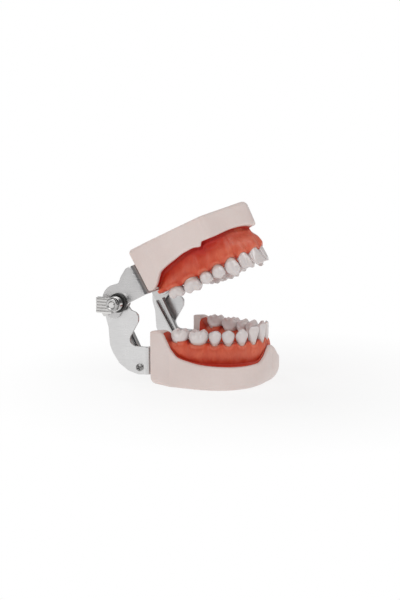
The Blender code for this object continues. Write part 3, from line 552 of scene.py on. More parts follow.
# ------------------------------------------------------------------ shader helpers
class Graph:
    """A node tree. Most methods add a node and return its output socket."""

    def __init__(self, tree):
        self.tree = tree

    def feed(self, socket, value):
        """Sets a socket to a number or a tuple, or links an output to it."""
        if isinstance(value, (int, float)):
            socket.default_value = value
        elif isinstance(value, tuple):  # a colour gets its alpha, a vector stays
            socket.default_value = (*value, 1.0)[:len(socket.default_value)]
        else:
            self.tree.links.new(value, socket)

    def node(self, kind, inputs=None, **settings):
        made = self.tree.nodes.new(kind)
        for key, value in settings.items():
            setattr(made, key, value)
        for key, value in (inputs or {}).items():
            self.feed(made.inputs[key], value)
        return made

    def coords(self, stretch=(1, 1, 1)):
        where = self.node("ShaderNodeTexCoord").outputs["Object"]
        return self.node("ShaderNodeMapping", {"Scale": stretch, "Vector": where}).outputs[0]

    def noise(self, scale, detail=4.0, rough=0.5, stretch=(1, 1, 1), distortion=0.0):
        return self.node("ShaderNodeTexNoise", {
            "Scale": scale, "Detail": detail, "Roughness": rough, "Distortion": distortion,
            "Vector": self.coords(stretch)}).outputs["Fac"]

    def ramp(self, source, stops):
        """stops: {position: colour}."""
        made = self.node("ShaderNodeValToRGB", {"Fac": source})
        elements = made.color_ramp.elements
        while len(elements) < len(stops):
            elements.new(0.5)
        for element, (position, colour) in zip(elements, stops.items()):
            element.position = position
            element.color = (*colour, 1.0)
        return made.outputs["Color"]

    def remap(self, source, over, to):
        """Maps the range over to the range to."""
        return self.node("ShaderNodeMapRange", {
            "From Min": over[0], "From Max": over[1], "To Min": to[0], "To Max": to[1],
            "Value": source}).outputs["Result"]

    def mix(self, base, other, amount, blend="MIX"):
        return self.node("ShaderNodeMix", {0: amount, 6: base, 7: other},
                         data_type="RGBA", blend_type=blend).outputs[2]

    def calc(self, operation, first, second):
        return self.node("ShaderNodeMath", {0: first, 1: second}, operation=operation).outputs[0]

    def times(self, source, by):
        return self.calc("MULTIPLY", source, by)

    def plus(self, source, other):
        return self.calc("ADD", source, other)

    def bump(self, height, strength, distance, before=None):
        inputs = {"Strength": strength, "Distance": distance, "Height": height}
        if before is not None:
            inputs["Normal"] = before
        return self.node("ShaderNodeBump", inputs).outputs["Normal"]

    def attribute(self, name):
        return self.node("ShaderNodeAttribute", attribute_name=name).outputs["Fac"]

    def pointiness(self, low, high):
        """0 in hollows to 1 on edges."""
        source = self.node("ShaderNodeNewGeometry").outputs["Pointiness"]
        return self.remap(source, over=(low, high), to=(0.0, 1.0))


class Surface(Graph):
    """A new material round its Principled shader."""

    def __init__(self, name):
        self.material = bpy.data.materials.new(name)
        self.material.use_nodes = True
        super().__init__(self.material.node_tree)
        self.shader = self.tree.nodes["Principled BSDF"]

    def finish(self, slot, inputs):
        """Feeds the shader and returns (material, slot)."""
        for key, value in inputs.items():
            self.feed(self.shader.inputs[key], value)
        return self.material, slot


# ------------------------------------------------------------------ materials
def base_resin():
    look = Surface("cast_base_resin")
    mottled = look.ramp(look.noise(scale=55.0, detail=5.0, rough=0.55),
                        {0.30: (0.690, 0.580, 0.545), 0.72: (0.735, 0.634, 0.600)})
    grain = look.ramp(look.noise(scale=900.0, detail=2.0, rough=0.6),
                      {0.38: (0.90, 0.88, 0.87), 0.62: (1.0, 1.0, 1.0)})
    colour = look.mix(mottled, grain, amount=0.16, blend="MULTIPLY")
    # painted shade: darker in the hollows of the base
    hollow_shade = look.calc("SUBTRACT", 0.5, look.pointiness(low=0.40, high=0.60))
    colour = look.mix(colour, (0.50, 0.36, 0.33), amount=look.times(hollow_shade, by=0.8))
    waves = look.bump(look.noise(scale=60.0, detail=3.0), strength=0.20, distance=0.0004)
    return look.finish("base_resin", {
        "Base Color": colour,
        "Roughness": look.remap(look.noise(scale=140.0), over=(0.3, 0.7), to=(0.36, 0.52)),
        "Subsurface Weight": 0.12,
        "Subsurface Radius": (0.0020, 0.0012, 0.0010),
        "Subsurface Scale": 1.0,
        "Specular IOR Level": 0.42,
        "Normal": look.bump(look.noise(scale=1100.0, detail=2.0), strength=0.05,
                            distance=0.0001, before=waves)})


def gum_silicone():
    look = Surface("gum_silicone")
    fold, margin = look.attribute("fold"), look.attribute("margin")
    colour = look.ramp(
        look.noise(scale=150.0, detail=5.0, rough=0.6, distortion=0.4),
        {0.30: (0.480, 0.040, 0.012), 0.55: (0.550, 0.062, 0.021), 0.75: (0.640, 0.115, 0.052)})
    # lighter towards the crest, with a painted highlight in a band part-way up the outer wall
    colour = look.mix(colour, (0.74, 0.230, 0.140), amount=look.times(margin, by=0.50))
    # painted highlight: paler towards the front
    where = look.node("ShaderNodeTexCoord").outputs["Generated"]
    depth = look.node("ShaderNodeSeparateXYZ", {0: where}).outputs["Y"]
    front_highlight = look.remap(depth, over=(0.02, 0.45), to=(0.42, 0.0))
    colour = look.mix(colour, (0.74, 0.205, 0.125), amount=front_highlight)
    shade = look.times(look.attribute("shade"), by=0.75)
    colour = look.mix(colour, (0.500, 0.028, 0.010), amount=shade)
    # painted shade in the fold and between the teeth
    colour = look.mix(colour, (0.400, 0.007, 0.004), amount=fold)
    veins = look.ramp(
        look.noise(scale=380.0, detail=3.0, rough=0.7, stretch=(1, 1, 0.35), distortion=1.2),
        {0.44: (0.88, 0.60, 0.55), 0.56: (1, 1, 1)})
    colour = look.mix(colour, veins, amount=0.35, blend="MULTIPLY")
    rough = look.remap(look.noise(scale=260.0), over=(0.3, 0.7), to=(0.27, 0.44))
    stipple = look.node("ShaderNodeTexVoronoi", {"Scale": 1500.0, "Vector": look.coords()},
                        feature="SMOOTH_F1").outputs["Distance"]
    waves = look.bump(look.noise(scale=210.0, detail=3.0, rough=0.55), strength=0.30,
                      distance=0.0005)
    return look.finish("gum_silicone", {
        "Base Color": colour,
        "Roughness": look.plus(rough, look.times(fold, by=0.25)),
        "Subsurface Weight": 0.18,
        "Subsurface Radius": (0.0022, 0.0005, 0.0003),
        "Subsurface Scale": 1.0,
        "Specular IOR Level": 0.30,
        "Coat Weight": 0.06,
        "Coat Roughness": 0.22,
        "Normal": look.bump(stipple, strength=0.16, distance=0.00018, before=waves)})


def tooth_resin():
    look = Surface("tooth_resin")
    colour = look.ramp(look.noise(scale=170.0, detail=3.0),
                       {0.3: (0.630, 0.570, 0.552), 0.7: (0.685, 0.632, 0.624)})
    colour = look.mix(colour, (0.640, 0.560, 0.500), amount=look.attribute("neck"))
    # painted shade: darker in the deep pits of the biting surface
    pit = look.times(look.attribute("pit"), by=0.5)
    colour = look.mix(colour, (0.50, 0.38, 0.30), amount=pit)
    rough = look.noise(scale=420.0, detail=3.0)
    waves = look.bump(look.noise(scale=240.0, detail=3.0), strength=0.14, distance=0.0004)
    lines = look.noise(scale=900.0, detail=2.0, stretch=(0.3, 0.3, 2.2))
    return look.finish("tooth_resin", {
        "Base Color": colour,
        "Roughness": look.remap(rough, over=(0.3, 0.7), to=(0.13, 0.26)),
        "Subsurface Weight": 0.20,
        "Subsurface Radius": (0.0014, 0.0011, 0.0009),
        "Subsurface Scale": 1.0,
        "Specular IOR Level": 0.55,
        "Coat Weight": 0.35,
        "Coat Roughness": 0.08,
        "Normal": look.bump(lines, strength=0.06, distance=0.0001, before=waves)})


def dark_nylon():
    look = Surface("dark_bush")
    colour = look.ramp(look.noise(scale=500.0),
                       {0.3: (0.010, 0.010, 0.011), 0.75: (0.035, 0.033, 0.032)})
    # painted highlight: lighter on the sharp edges
    edge_highlight = look.times(look.pointiness(low=0.50, high=0.60), by=0.5)
    rough = look.noise(scale=300.0, detail=3.0)
    return look.finish("dark_bush", {
        "Base Color": look.mix(colour, (0.09, 0.085, 0.08), amount=edge_highlight),
        "Roughness": look.remap(rough, over=(0.3, 0.7), to=(0.22, 0.42)),
        "Normal": look.bump(look.noise(scale=900.0, detail=2.0), strength=0.2,
                            distance=0.0001)})


def steel(name, slot, tone, rough, stretch, scratch=0.10):
    """Fine streaks along one direction, smudges, and a painted highlight on the edges."""
    look = Surface(name)
    streak = look.noise(scale=700.0, detail=3.0, rough=0.65, stretch=stretch)
    smudge = look.noise(scale=70.0, detail=5.0, rough=0.6)
    colour = look.ramp(streak, {0.30: tuple(c * 0.86 for c in tone), 0.70: tone})
    colour = look.mix(colour, tuple(c * 0.74 for c in tone),
                      amount=look.remap(smudge, over=(0.45, 0.75), to=(0.0, 0.25)))
    # painted highlight: lighter on the sharp edges
    edge_highlight = look.times(look.pointiness(low=0.50, high=0.58), by=0.5)
    scratches = look.bump(streak, strength=scratch, distance=0.00006)
    return look.finish(slot, {
        "Base Color": look.mix(colour, (0.92, 0.91, 0.90), amount=edge_highlight),
        "Metallic": 1.0,
        "Roughness": look.plus(look.remap(streak, over=(0.3, 0.7), to=rough),
                               look.remap(smudge, over=(0.4, 0.8), to=(0.0, 0.10))),
        "Normal": look.bump(look.noise(scale=40.0, detail=2.0), strength=0.12,
                            distance=0.0003, before=scratches)})


BASE, GUM, TOOTH, BUSH = base_resin(), gum_silicone(), tooth_resin(), dark_nylon()
# painted shade: the upper bracket's satin steel is a darker copy of the lower one
UPPER_SHEET = steel("satin_sheet_steel_upper", "satin_steel", tone=(0.58, 0.57, 0.57),
                    rough=(0.22, 0.34), stretch=(0.15, 0.15, 3.0), scratch=0.12)
LOWER_SHEET = steel("satin_sheet_steel", "satin_steel", tone=(0.72, 0.715, 0.715),
                    rough=(0.24, 0.36), stretch=(0.15, 0.15, 3.0), scratch=0.12)
POLISHED = steel("polished_sheet_steel", "bright_steel", tone=(0.50, 0.495, 0.49),
                 rough=(0.10, 0.18), stretch=(3.0, 3.0, 0.12))
BRIGHT = steel("turned_steel", "bright_steel", tone=(0.62, 0.61, 0.60),
               rough=(0.09, 0.18), stretch=(3.0, 0.4, 0.4))
# a darker steel for the clamp nut
DARK_NUT_STEEL = steel("dark_nut_steel", "bright_steel", tone=(0.40, 0.395, 0.39),
             rough=(0.12, 0.22), stretch=(1.0, 1.0, 1.0))
ZINC = steel("dark_zinc", "bright_steel", tone=(0.26, 0.255, 0.25),
             rough=(0.18, 0.30), stretch=(1.0, 1.0, 1.0))


# ------------------------------------------------------------------ bases
def base_section(jaw, station, shrink):
    """The closed (radius, height) section of a base, shrunk where the rear edge rounds off."""
    upper, foot = jaw.upper, 0.0 if jaw.upper else -FOOT
    outline, rim, crest, _, _, inner, floor, core, core_out, core_in = jaw.section(station)
    # the rounded bottom edge: the plain size, then what the front and the rear add to it
    if upper:
        front, unders, lifts = share(-station, 15, 60.0), (1.3, 1.2, 0.9), (1.3, 1.4, 1.1)
    else:
        front, unders, lifts = share(-station, -5, 75.0), (1.6, 5.0, 1.4), (1.8, 7.6, 3.0)
    weights = (1.0, front, share(station, 20, 9.0))
    under, lift = np.dot(unders, weights), np.dot(lifts, weights)
    bottom = [(outline - under * (1 - math.sin(w)), foot + lift * (1 - math.cos(w)))
              for w in quarter(9)]
    # the other corners: radius, height, rounding, points
    if station > jaw.end + 0.01:  # the solid block behind the gum
        t = share(station, jaw.end, jaw.rear - jaw.end)
        wall = inner if upper else (inner + 2.0) * (1 - t) + 26.6 * t
        wide = outline - wall
        corners = [(outline, rim, 1.3, 7), (outline - min(2.9, 0.62 * wide), rim, 0.6, 5)]
        corners += [(outline - min(most, part * wide), rim, 0, 1)
                    for most, part in ((3.2, 0.64), (3.6, 0.66), (4.0, 0.68))]
        if upper:
            corners += [(wall + 1.0, rim, 1.2, 5), (inner - 1.5, rim - 3.5, 0, 1),
                        (inner - 7.0, PALATE, 0, 1)]
        else:
            knee = min(21.6, rim - 3.4)
            corners += [(wall, rim, 1.1, 5), (wall - 0.01, knee, 0, 1),
                        (inner - 1.0, knee - 1.0, 0, 1)]
    else:  # a trough outside a core that carries the gum
        corners = [(outline, rim, 1.3, 7), (outline - 2.9, rim, 0.9, 5),
                   (outline - 3.0, floor, 0, 1), (core_out, floor, 0, 1), (core_out, core, 0, 1),
                   (core_in, core, 0.5, 5)]
        if upper:
            corners += [(core_in, crest - 7.0, 0, 1), (inner - 7.0, PALATE, 0, 1)]
        else:
            corners += [(core_in, INNER_FLOOR, 0, 1), (inner - 1.0, INNER_FLOOR, 0, 1)]
    if upper:
        corners += [(0.0, PALATE, 0, 1), (0.0, 0.0, 0, 1)]
    else:
        corners += [(inner - 1.0, foot, 0.9, 4)]
    corners = [(*bottom[-1], 0, 1)] + corners + [(*bottom[0], 0, 1)]
    rounded = fillet([c[:2] for c in corners], [c[2] for c in corners], [c[3] for c in corners])
    section = np.array(bottom + list(rounded[1:-1]))
    if shrink > 0:
        section = inset(section, shrink)
        if upper:
            section[-2:, 0] = 0.0
            section[-2:, 1] = PALATE - shrink, shrink
    return section


def base_piece(jaw):
    upper, rear, end = jaw.upper, jaw.rear, jaw.end
    soft = 0.75 if upper else 0.42  # rounding of the rear edge
    # (station, shrink) of the block behind the gum
    block = [(end + 0.03, 0.0), (end + 1.0, 0.0), (end + 2.2, 0.0), (rear - soft - 1.4, 0.0)]
    block += [(rear - soft + soft * math.sin(w), soft * (1 - math.cos(w))) for w in quarter(6)]
    stations = [(-1, a, shrink) for a, shrink in reversed(block)]
    stations += [(side, min(a, end - 0.02), 0.0) for side, a in station_list(end, 0.42, 0.85)]
    stations += [(1, a, shrink) for a, shrink in block]
    rows = []
    for side, station, shrink in stations:
        radius, z = base_section(jaw, station, shrink).T
        x, y = place(side, station, radius)
        t = share(station, end, rear - end)
        if upper:
            y = y + (CLOSED_TOP - z - LEAN_Z) * REAR_LEAN * t
            y = y - 1.1 * t ** 3 * np.maximum(0.0, 1 - z / 2.4) ** 2
        else:
            y = y - 1.7 * t ** 3 * np.maximum(0.0, 1 - (z + FOOT) / 4.2) ** 2
        rows.append(np.stack([x, y, z], 1))
    rows = np.array(rows)
    m, n = rows.shape[:2]
    faces = grid_faces(m, n)
    if upper:  # no wall on the mid-plane, where the two sides meet
        faces = [face for i, face in enumerate(faces) if i % n != n - 2]
    faces += cap_faces(rows[0][:, ::2] * (-1, 1), 0, True)
    faces += cap_faces(rows[-1][:, ::2], (m - 1) * n)
    points = jaw.flip(rows.reshape(-1, 3))
    # very slight waviness of the casting
    x, y, z = points.T
    wave = 0.05 * np.sin(x * 0.31 + z * 0.2) * np.cos(y * 0.27 - z * 0.12)
    points[:, 0] += wave * np.sign(x)
    add_piece(f"{jaw.word}_base", "cast", jaw.word, BASE, (points, faces), sharp=42)


# ------------------------------------------------------------------ gums
# for each of TEETH: how far the crest moves on the tooth's middle, and by a contact
CREST_LOW = {"upper": np.array((1.6, 1.3, 0.4, 0.1, 0.6, 0.1, 0.0)),
             "lower": np.array((-0.5, -0.5, -0.5, -0.4, -0.3, 0.2, 1.6))}
CREST_HIGH = np.array((2.0, 1.9, 1.7, 1.4, 1.3, 1.1, 1.0))
ROOT_BULGE = np.array((0.45, 0.45, 0.85, 0.5, 0.45, 0.55, 0.4))


def gum_section(jaw, station, neck_out, neck_in):
    """The gum's visible line and hidden underside as (radius, height), from the outer edge
    over the crest to the inner side, with the heights of the fold and crest and the edge."""
    outline, rim, crest, arch, outer, inner, floor, core, core_out, core_in = jaw.section(station)
    edge = outline - GUM_EDGE
    top = max(outer, min(arch + jaw.half_width(station) + 0.7, arch + neck_out + 1.3))
    neck = min(arch + neck_out, top - 0.45)
    back = arch - neck_in
    if jaw.upper:
        fold = min(rim + 0.2, crest - 2.4)
        height = crest - fold
        deep = 1.5 + 0.9 * float(bell(station, -24.0, 14.0)) + 0.4 * float(ease(station, 2, 14.0))
        line = [
            (edge, rim - 0.7), (edge - 0.10, rim - 0.05), (edge - 0.6, rim + 0.15),
            (edge - deep, fold + 0.05), (edge - deep - 0.2, fold + 0.7),
            (edge - deep * 0.85, fold + 0.16 * height),
            (min(edge - 0.9, outer - 0.4), fold + 0.33 * height),
            (outer * 0.6 + top * 0.4 - 0.15, fold + 0.52 * height),
            (outer * 0.2 + top * 0.8 + 0.05, fold + 0.70 * height), (top - 0.05, crest - 1.9)]
    else:
        fold = min(rim - 1.2, crest - 1.9)
        height = crest - fold
        line = [
            (edge, min(rim, crest - 0.6) - 0.7), (edge - 0.05, min(rim + 0.15, crest - 0.3)),
            (edge - 0.55, min(rim + 0.32, crest - 0.2)), (edge - 1.05, min(rim - 0.1, crest - 0.6)),
            (edge - 1.35, fold + 0.1),
            (min(edge - 1.45, outer - 0.3), fold + 0.07 * height + 0.1),
            (min(edge - 0.9, outer - 0.25), fold + 0.20 * height),
            (outer - 0.05, fold + 0.40 * height), (outer + 0.1, fold + 0.62 * height),
            (outer - 0.1, crest - 1.7)]
    line += [
        (max(neck + 0.55, top - 0.5), crest - 0.75), (neck + 0.35, crest - 0.12),
        (neck - 0.25, crest + 0.1), (arch + 0.3, crest + 0.15), (back + 0.25, crest + 0.1),
        (back - 0.35, crest - 0.12), (min(back - 0.6, inner + 0.5), crest - 0.8),
        (inner - 0.05, crest - 2.2)]
    if jaw.upper:
        line += [
            (inner - 0.7, crest - 4.2), (inner - 2.2, crest - 6.8), (inner - 4.6, crest - 9.2),
            (max(inner - 9.0, 2.0), PALATE + 2.2), (max((inner - 9.0) * 0.5, 1.0), PALATE + 1.6),
            (0.5, PALATE + 1.5), (0.0, PALATE + 1.5)]
        under = [(0.0, PALATE + 0.3), (max(inner - 7.0, 0.5), PALATE + 0.3),
                 (core_in - 0.4, crest - 7.0), (core_in - 0.4, core + 0.3)]
    else:
        foot = INNER_FLOOR + 0.35
        line += [(inner - 0.35, crest - 4.4), (inner - 0.55, (crest + INNER_FLOOR) / 2 - 0.4),
                 (inner - 0.85, 13.4), (inner - 0.95, foot)]
        under = [(core_in - 0.35, foot), (core_in - 0.35, core + 0.3)]
    under += [(core_out + 0.3, core + 0.3), (core_out + 0.4, floor + 0.3), (edge, floor + 0.3)]
    return line, under, fold, crest, edge


def nearest_teeth(jaw, x, y):
    """For each point: 0 on the nearest tooth's middle to 1 at its contact, the distance out
    from the row, the tooth's kind, and whether the point is behind the last tooth's middle."""
    closeness = np.full(x.shape, 9.0)
    outward = np.zeros(x.shape)
    kinds = np.zeros(x.shape, int)
    distal = np.zeros(x.shape, bool)
    for tooth in jaw.teeth:
        dx, dy = x - tooth.x, y - tooth.y
        v = dx * math.cos(tooth.phi) + dy * math.sin(tooth.phi)
        u = dy * math.cos(tooth.phi) - dx * math.sin(tooth.phi)
        here = np.abs(u) / (tooth.width / 2 + 0.22) + np.where(np.abs(v) > 10, 5.0, 0.0)
        take = here < closeness
        closeness = np.where(take, here, closeness)
        outward = np.where(take, v, outward)
        kinds = np.where(take, tooth.kind, kinds)
        distal = np.where(take, (tooth.kind == 6) & (u * tooth.side > 0), distal)
    return closeness, outward, kinds, distal


def gum_tints(jaw, station, runs, radius, z, fold, crest, edge, facial):
    """Painted shade in the fold and on the lower wall; level is 0 at the fold, 1 at the crest."""
    level = np.clip((z - fold) / (crest - fold), -1, 1.5)
    if jaw.upper:
        reach = (0.27 + 0.30 * bell(station, -22.0, 15.0) - 0.12 * ease(-station, 48, 20.0)
                 + 0.03 * np.sin(runs * 0.8))
        shade = 1 - ease(level, 0.12, 0.62 + 0.2 * bell(station, -18.0, 20.0))
        shade = shade * facial * (1 - 0.75 * ease(-station, 40, 20.0))
        dark = (1 - ease(level / reach)) * facial * (0.80 + 0.20 * bell(station, -24.0, 16.0))
        lip = (z < fold + 0.3) & (radius > edge - 0.5)
        return level, np.where(lip, 0.6 * dark, dark), shade
    depth = edge - radius
    dark = bell(depth, 1.35, 0.55) * (1 - ease(z, fold, 1.8)) * facial
    dark = np.maximum(dark, 0.5 * (1 - ease(level, 0.0, 0.30)) * (facial & (depth > 0.9)))
    return level, dark, (1 - ease(level, 0.05, 0.45)) * np.where(facial, 0.8, 0.5)


def gum_piece(jaw):
    upper = jaw.upper
    stations = station_list(jaw.end - 0.3, 0.34, 0.75)
    runs = run_lengths(np.array([place(side, a, jaw.arch_radius(a)) for side, a in stations]))
    runs = np.abs(runs - runs[len(stations) // 2])
    teeth = [tooth for tooth in jaw.teeth if tooth.side > 0]
    necks = [np.interp(runs, [tooth.run for tooth in teeth],
                       [NECK[tooth.kind][i] * tooth.depth for tooth in teeth]) for i in (0, 1)]
    parts = zip(*[gum_section(jaw, a, out, back) for (_, a), out, back in zip(stations, *necks)])
    line, under, fold, crest, edge = (np.array(part) for part in parts)
    line = chaikin(line, 3)
    seen = line.shape[1]
    radius, z = np.moveaxis(np.concatenate([line, under], 1), -1, 0)
    m, n = radius.shape
    visible = np.arange(n)[None] < seen
    fold, crest, edge, runs = fold[:, None], crest[:, None], edge[:, None], runs[:, None]
    side, station = np.array(stations, float).T[:, :, None]
    angle = np.radians(np.maximum(-station, 0.0))

    def spread(r):
        return (side * r * np.cos(angle),
                SPLIT_Y + np.maximum(station, 0.0) - r * np.sin(angle))

    x, y = spread(radius)
    closeness, outward, kinds, distal = nearest_teeth(jaw, x, y)
    contact = np.clip(closeness, 0, 1)
    last_fade = np.where(distal, 1 - ease(closeness, 0.75, 0.5), 1.0)
    facial = outward > 0
    direction = np.where(facial, 1.0, -1.0)
    height = crest - fold

    # the crest is scalloped: it rises into a papilla at each contact
    near_top = ease(z, crest - 4.6, 4.2) * (radius > 3.0)
    low = CREST_LOW[jaw.word][kinds]
    high = CREST_HIGH[kinds] + np.maximum(low, 0.0) * 0.75
    scallop = low + (high - low) * ease(contact ** 1.5)
    behind = np.where(contact < 0.75, np.minimum(scallop, 0.4), 0.4) * last_fade
    new_z = z + near_top * np.where(distal, behind, scallop)

    # the walls swell over each root, and the swelling fades towards the fold
    wall = ease(z, fold + 0.10 * height, 0.40 * height) * np.where(facial, 1.0, 0.55) * visible
    bulge = ROOT_BULGE[kinds] * (1 - 1.55 * ease(contact)) - 0.10
    bulge = bulge * (0.55 + 0.45 * near_top)
    over = ease(np.abs(outward), 1.2, 1.5)
    new_r = radius + wall * bulge * direction * over
    if upper:
        new_r += 0.45 * (facial & (kinds < 2)) * ease(z, crest - 3.5, 3.0) * over
    # the gum dips in below each papilla
    dip = ease(contact, 0.55, 0.45) * near_top * over * last_fade
    new_r = new_r - direction * dip * 0.55
    if upper:
        # frenum folds: narrow upright bands on the mid-plane and beside the first premolar
        band = bell(runs, 0.0, 0.9) + 0.8 * bell(runs, 27.0, 1.4)
        new_r += band * (1 - ease(z, fold, 0.55 * height)) * facial * 0.8 * visible
        # ridges across the front of the palate, and its raphe
        deep = ease(crest - z, 6.0, 3.0) * visible * ~facial
        rugae = np.sin((y + 24.0) * 1.75 + 0.11 * np.abs(x) * (1 + 0.2 * np.sin(x)))
        rugae = rugae * ease(-y, 4.0, 4.0) * ease(np.abs(x), 0.8, 1.6)
        raphe = bell(x, 0.0, 0.9) * ease(y, -26.0, 4.0)
        new_z += deep * (0.32 * rugae + 0.30 * raphe)
    else:
        # a soft horizontal roll half-way up the outer wall
        roll = np.sin(np.clip((z - fold) / height, 0, 1) * math.pi * 2.0)
        new_r += 0.12 * facial * roll * wall
    x, y = spread(new_r)
    # small unevenness of the casting
    new_z = new_z + visible * 0.06 * np.sin(x * 0.9 + 1.3 * np.sin(y * 0.7)) * np.cos(y * 1.1)

    level, dark, shade = gum_tints(jaw, station, runs, radius, z, fold, crest, edge, facial)
    # painted shade between the teeth, next to the crest
    between = ease(contact, 0.80, 0.2) * ease(z, crest - 1.4, 1.2) * 0.55 * last_fade
    margin = ease(z, crest - 2.6, 2.0) * (1 - ease(contact, 0.55, 0.4))
    # painted highlight: a lighter band part-way up the outer wall
    margin = np.maximum(margin, 0.55 * bell(level, 0.62, 0.22) * facial)
    values = {"fold": np.maximum(dark, between), "margin": margin, "shade": shade}

    faces = grid_faces(m, n)
    if upper:  # no wall on the mid-plane, where the two sides meet
        faces = [face for i, face in enumerate(faces) if i % n != seen - 1]
    ends = np.stack([new_r, new_z], -1)
    faces += cap_faces(ends[0], 0, True) + cap_faces(ends[-1], (m - 1) * n)
    points = jaw.flip(np.stack([x, y, new_z], -1).reshape(-1, 3))
    add_piece(f"{jaw.word}_gum", "mask", jaw.word, GUM, (points, faces), sharp=60, weighted=False,
              values={key: np.clip(v, 0, 1).ravel() for key, v in values.items()})


# ------------------------------------------------------------------ teeth
GROUP = (0, 0, 1, 2, 2, 3, 3)  # incisor, canine, premolar or molar, for each of TEETH
# All tables run from t = 0 at the neck to 1 at the biting edge, and a little below the neck.
# Mesial and distal half widths, as shares of half the width, for each group:
LOWER_PREMOLAR = ((-0.4, 0.42), (0, 0.60), (0.25, 0.78), (0.5, 0.95), (0.68, 1.0), (0.84, 0.95),
                  (0.94, 0.84), (1.0, 0.72))
UPPER_PREMOLAR = ((-0.4, 0.48), (0, 0.68), (0.22, 0.84), (0.45, 0.97), (0.62, 1.0), (0.82, 0.95),
                  (0.94, 0.84), (1.0, 0.72))
MOLAR = (((-0.4, 0.62), (0, 0.76), (0.2, 0.85), (0.5, 0.985), (0.68, 1.0), (0.85, 0.955),
          (0.95, 0.88), (1.0, 0.80)),
         ((-0.4, 0.62), (0, 0.74), (0.2, 0.83), (0.5, 0.975), (0.68, 1.0), (0.85, 0.94),
          (0.95, 0.85), (1.0, 0.76)))
WIDTHS = {
    "lower": (
        (((-0.4, 0.42), (0, 0.60), (0.25, 0.76), (0.6, 0.95), (0.85, 1.0), (0.96, 0.985),
          (1.0, 0.93)),
         ((-0.4, 0.42), (0, 0.58), (0.25, 0.75), (0.6, 0.95), (0.82, 1.0), (0.95, 0.9),
          (1.0, 0.82))),
        (((-0.4, 0.42), (0, 0.60), (0.3, 0.82), (0.58, 1.0), (0.72, 0.97), (0.88, 0.74),
          (1.0, 0.46)),
         ((-0.4, 0.42), (0, 0.60), (0.3, 0.82), (0.52, 1.0), (0.68, 0.96), (0.86, 0.72),
          (1.0, 0.46))),
        (LOWER_PREMOLAR, LOWER_PREMOLAR), MOLAR),
    "upper": (
        (((-0.4, 0.50), (0, 0.72), (0.22, 0.88), (0.45, 0.965), (0.75, 1.0), (0.95, 0.985),
          (1.0, 0.94)),
         ((-0.4, 0.50), (0, 0.70), (0.22, 0.86), (0.45, 0.96), (0.72, 1.0), (0.92, 0.95),
          (1.0, 0.84))),
        (((-0.4, 0.50), (0, 0.68), (0.25, 0.88), (0.5, 1.0), (0.70, 0.99), (0.87, 0.82),
          (1.0, 0.56)),
         ((-0.4, 0.50), (0, 0.68), (0.25, 0.88), (0.48, 1.0), (0.66, 0.98), (0.85, 0.80),
          (1.0, 0.54))),
        (UPPER_PREMOLAR, UPPER_PREMOLAR), MOLAR)}
# Facial and lingual half depths as shares of the depth, and the power that squares the ring:
DEPTHS = (
    (((-0.4, 0.28), (0, 0.36), (0.16, 0.425), (0.45, 0.445), (0.75, 0.43), (1.0, 0.375)),
     ((-0.4, 0.26), (0, 0.36), (0.16, 0.44), (0.32, 0.36), (0.55, 0.10), (0.8, -0.13),
      (1.0, -0.215)),
     ((-0.4, 1.0), (0, 0.95), (0.5, 0.82), (1.0, 0.62))),
    (((-0.4, 0.30), (0, 0.38), (0.2, 0.49), (0.5, 0.50), (0.8, 0.45), (1.0, 0.345)),
     ((-0.4, 0.30), (0, 0.40), (0.18, 0.47), (0.4, 0.36), (0.65, 0.12), (1.0, -0.12)),
     ((-0.4, 1.0), (0, 0.95), (0.5, 0.90), (1.0, 0.85))),
    (((-0.4, 0.30), (0, 0.38), (0.25, 0.49), (0.5, 0.495), (0.75, 0.45), (0.9, 0.385),
      (1.0, 0.32)),
     ((-0.4, 0.30), (0, 0.38), (0.3, 0.48), (0.55, 0.50), (0.8, 0.44), (0.92, 0.37), (1.0, 0.31)),
     ((-0.4, 1.0), (0, 0.95), (0.5, 0.88), (1.0, 0.84))),
    (((-0.4, 0.33), (0, 0.385), (0.2, 0.48), (0.4, 0.50), (0.7, 0.46), (0.88, 0.40),
      (1.0, 0.335)),
     ((-0.4, 0.33), (0, 0.385), (0.25, 0.46), (0.5, 0.50), (0.75, 0.47), (0.9, 0.41),
      (1.0, 0.345)),
     ((-0.4, 0.92), (0, 0.88), (0.5, 0.80), (1.0, 0.74))))
# Cusps from the first premolar back: mesial and facial place in half widths and half depths,
# and height in mm.
CUSPS = {
    "lower": (
        ((0.02, 0.42, 0.0), (0.0, -0.62, -2.2)),
        ((0.04, 0.46, 0.0), (0.30, -0.56, -0.8), (-0.38, -0.56, -1.1)),
        ((0.52, 0.50, 0.0), (-0.02, 0.55, -0.05), (-0.62, 0.36, -0.4), (0.44, -0.54, 0.15),
         (-0.40, -0.54, 0.0)),
        ((0.46, 0.50, 0.0), (-0.44, 0.50, -0.1), (0.44, -0.52, 0.05), (-0.44, -0.52, -0.1))),
    "upper": (
        ((0.0, 0.52, 0.0), (0.05, -0.52, -0.8)),
        ((0.0, 0.52, 0.0), (0.05, -0.52, -0.35)),
        ((0.48, 0.56, 0.0), (-0.40, 0.56, -0.15), (0.34, -0.48, 0.1), (-0.60, -0.46, -0.65)),
        ((0.46, 0.56, 0.0), (-0.42, 0.54, -0.3), (0.26, -0.48, 0.0), (-0.56, -0.42, -1.1)))}


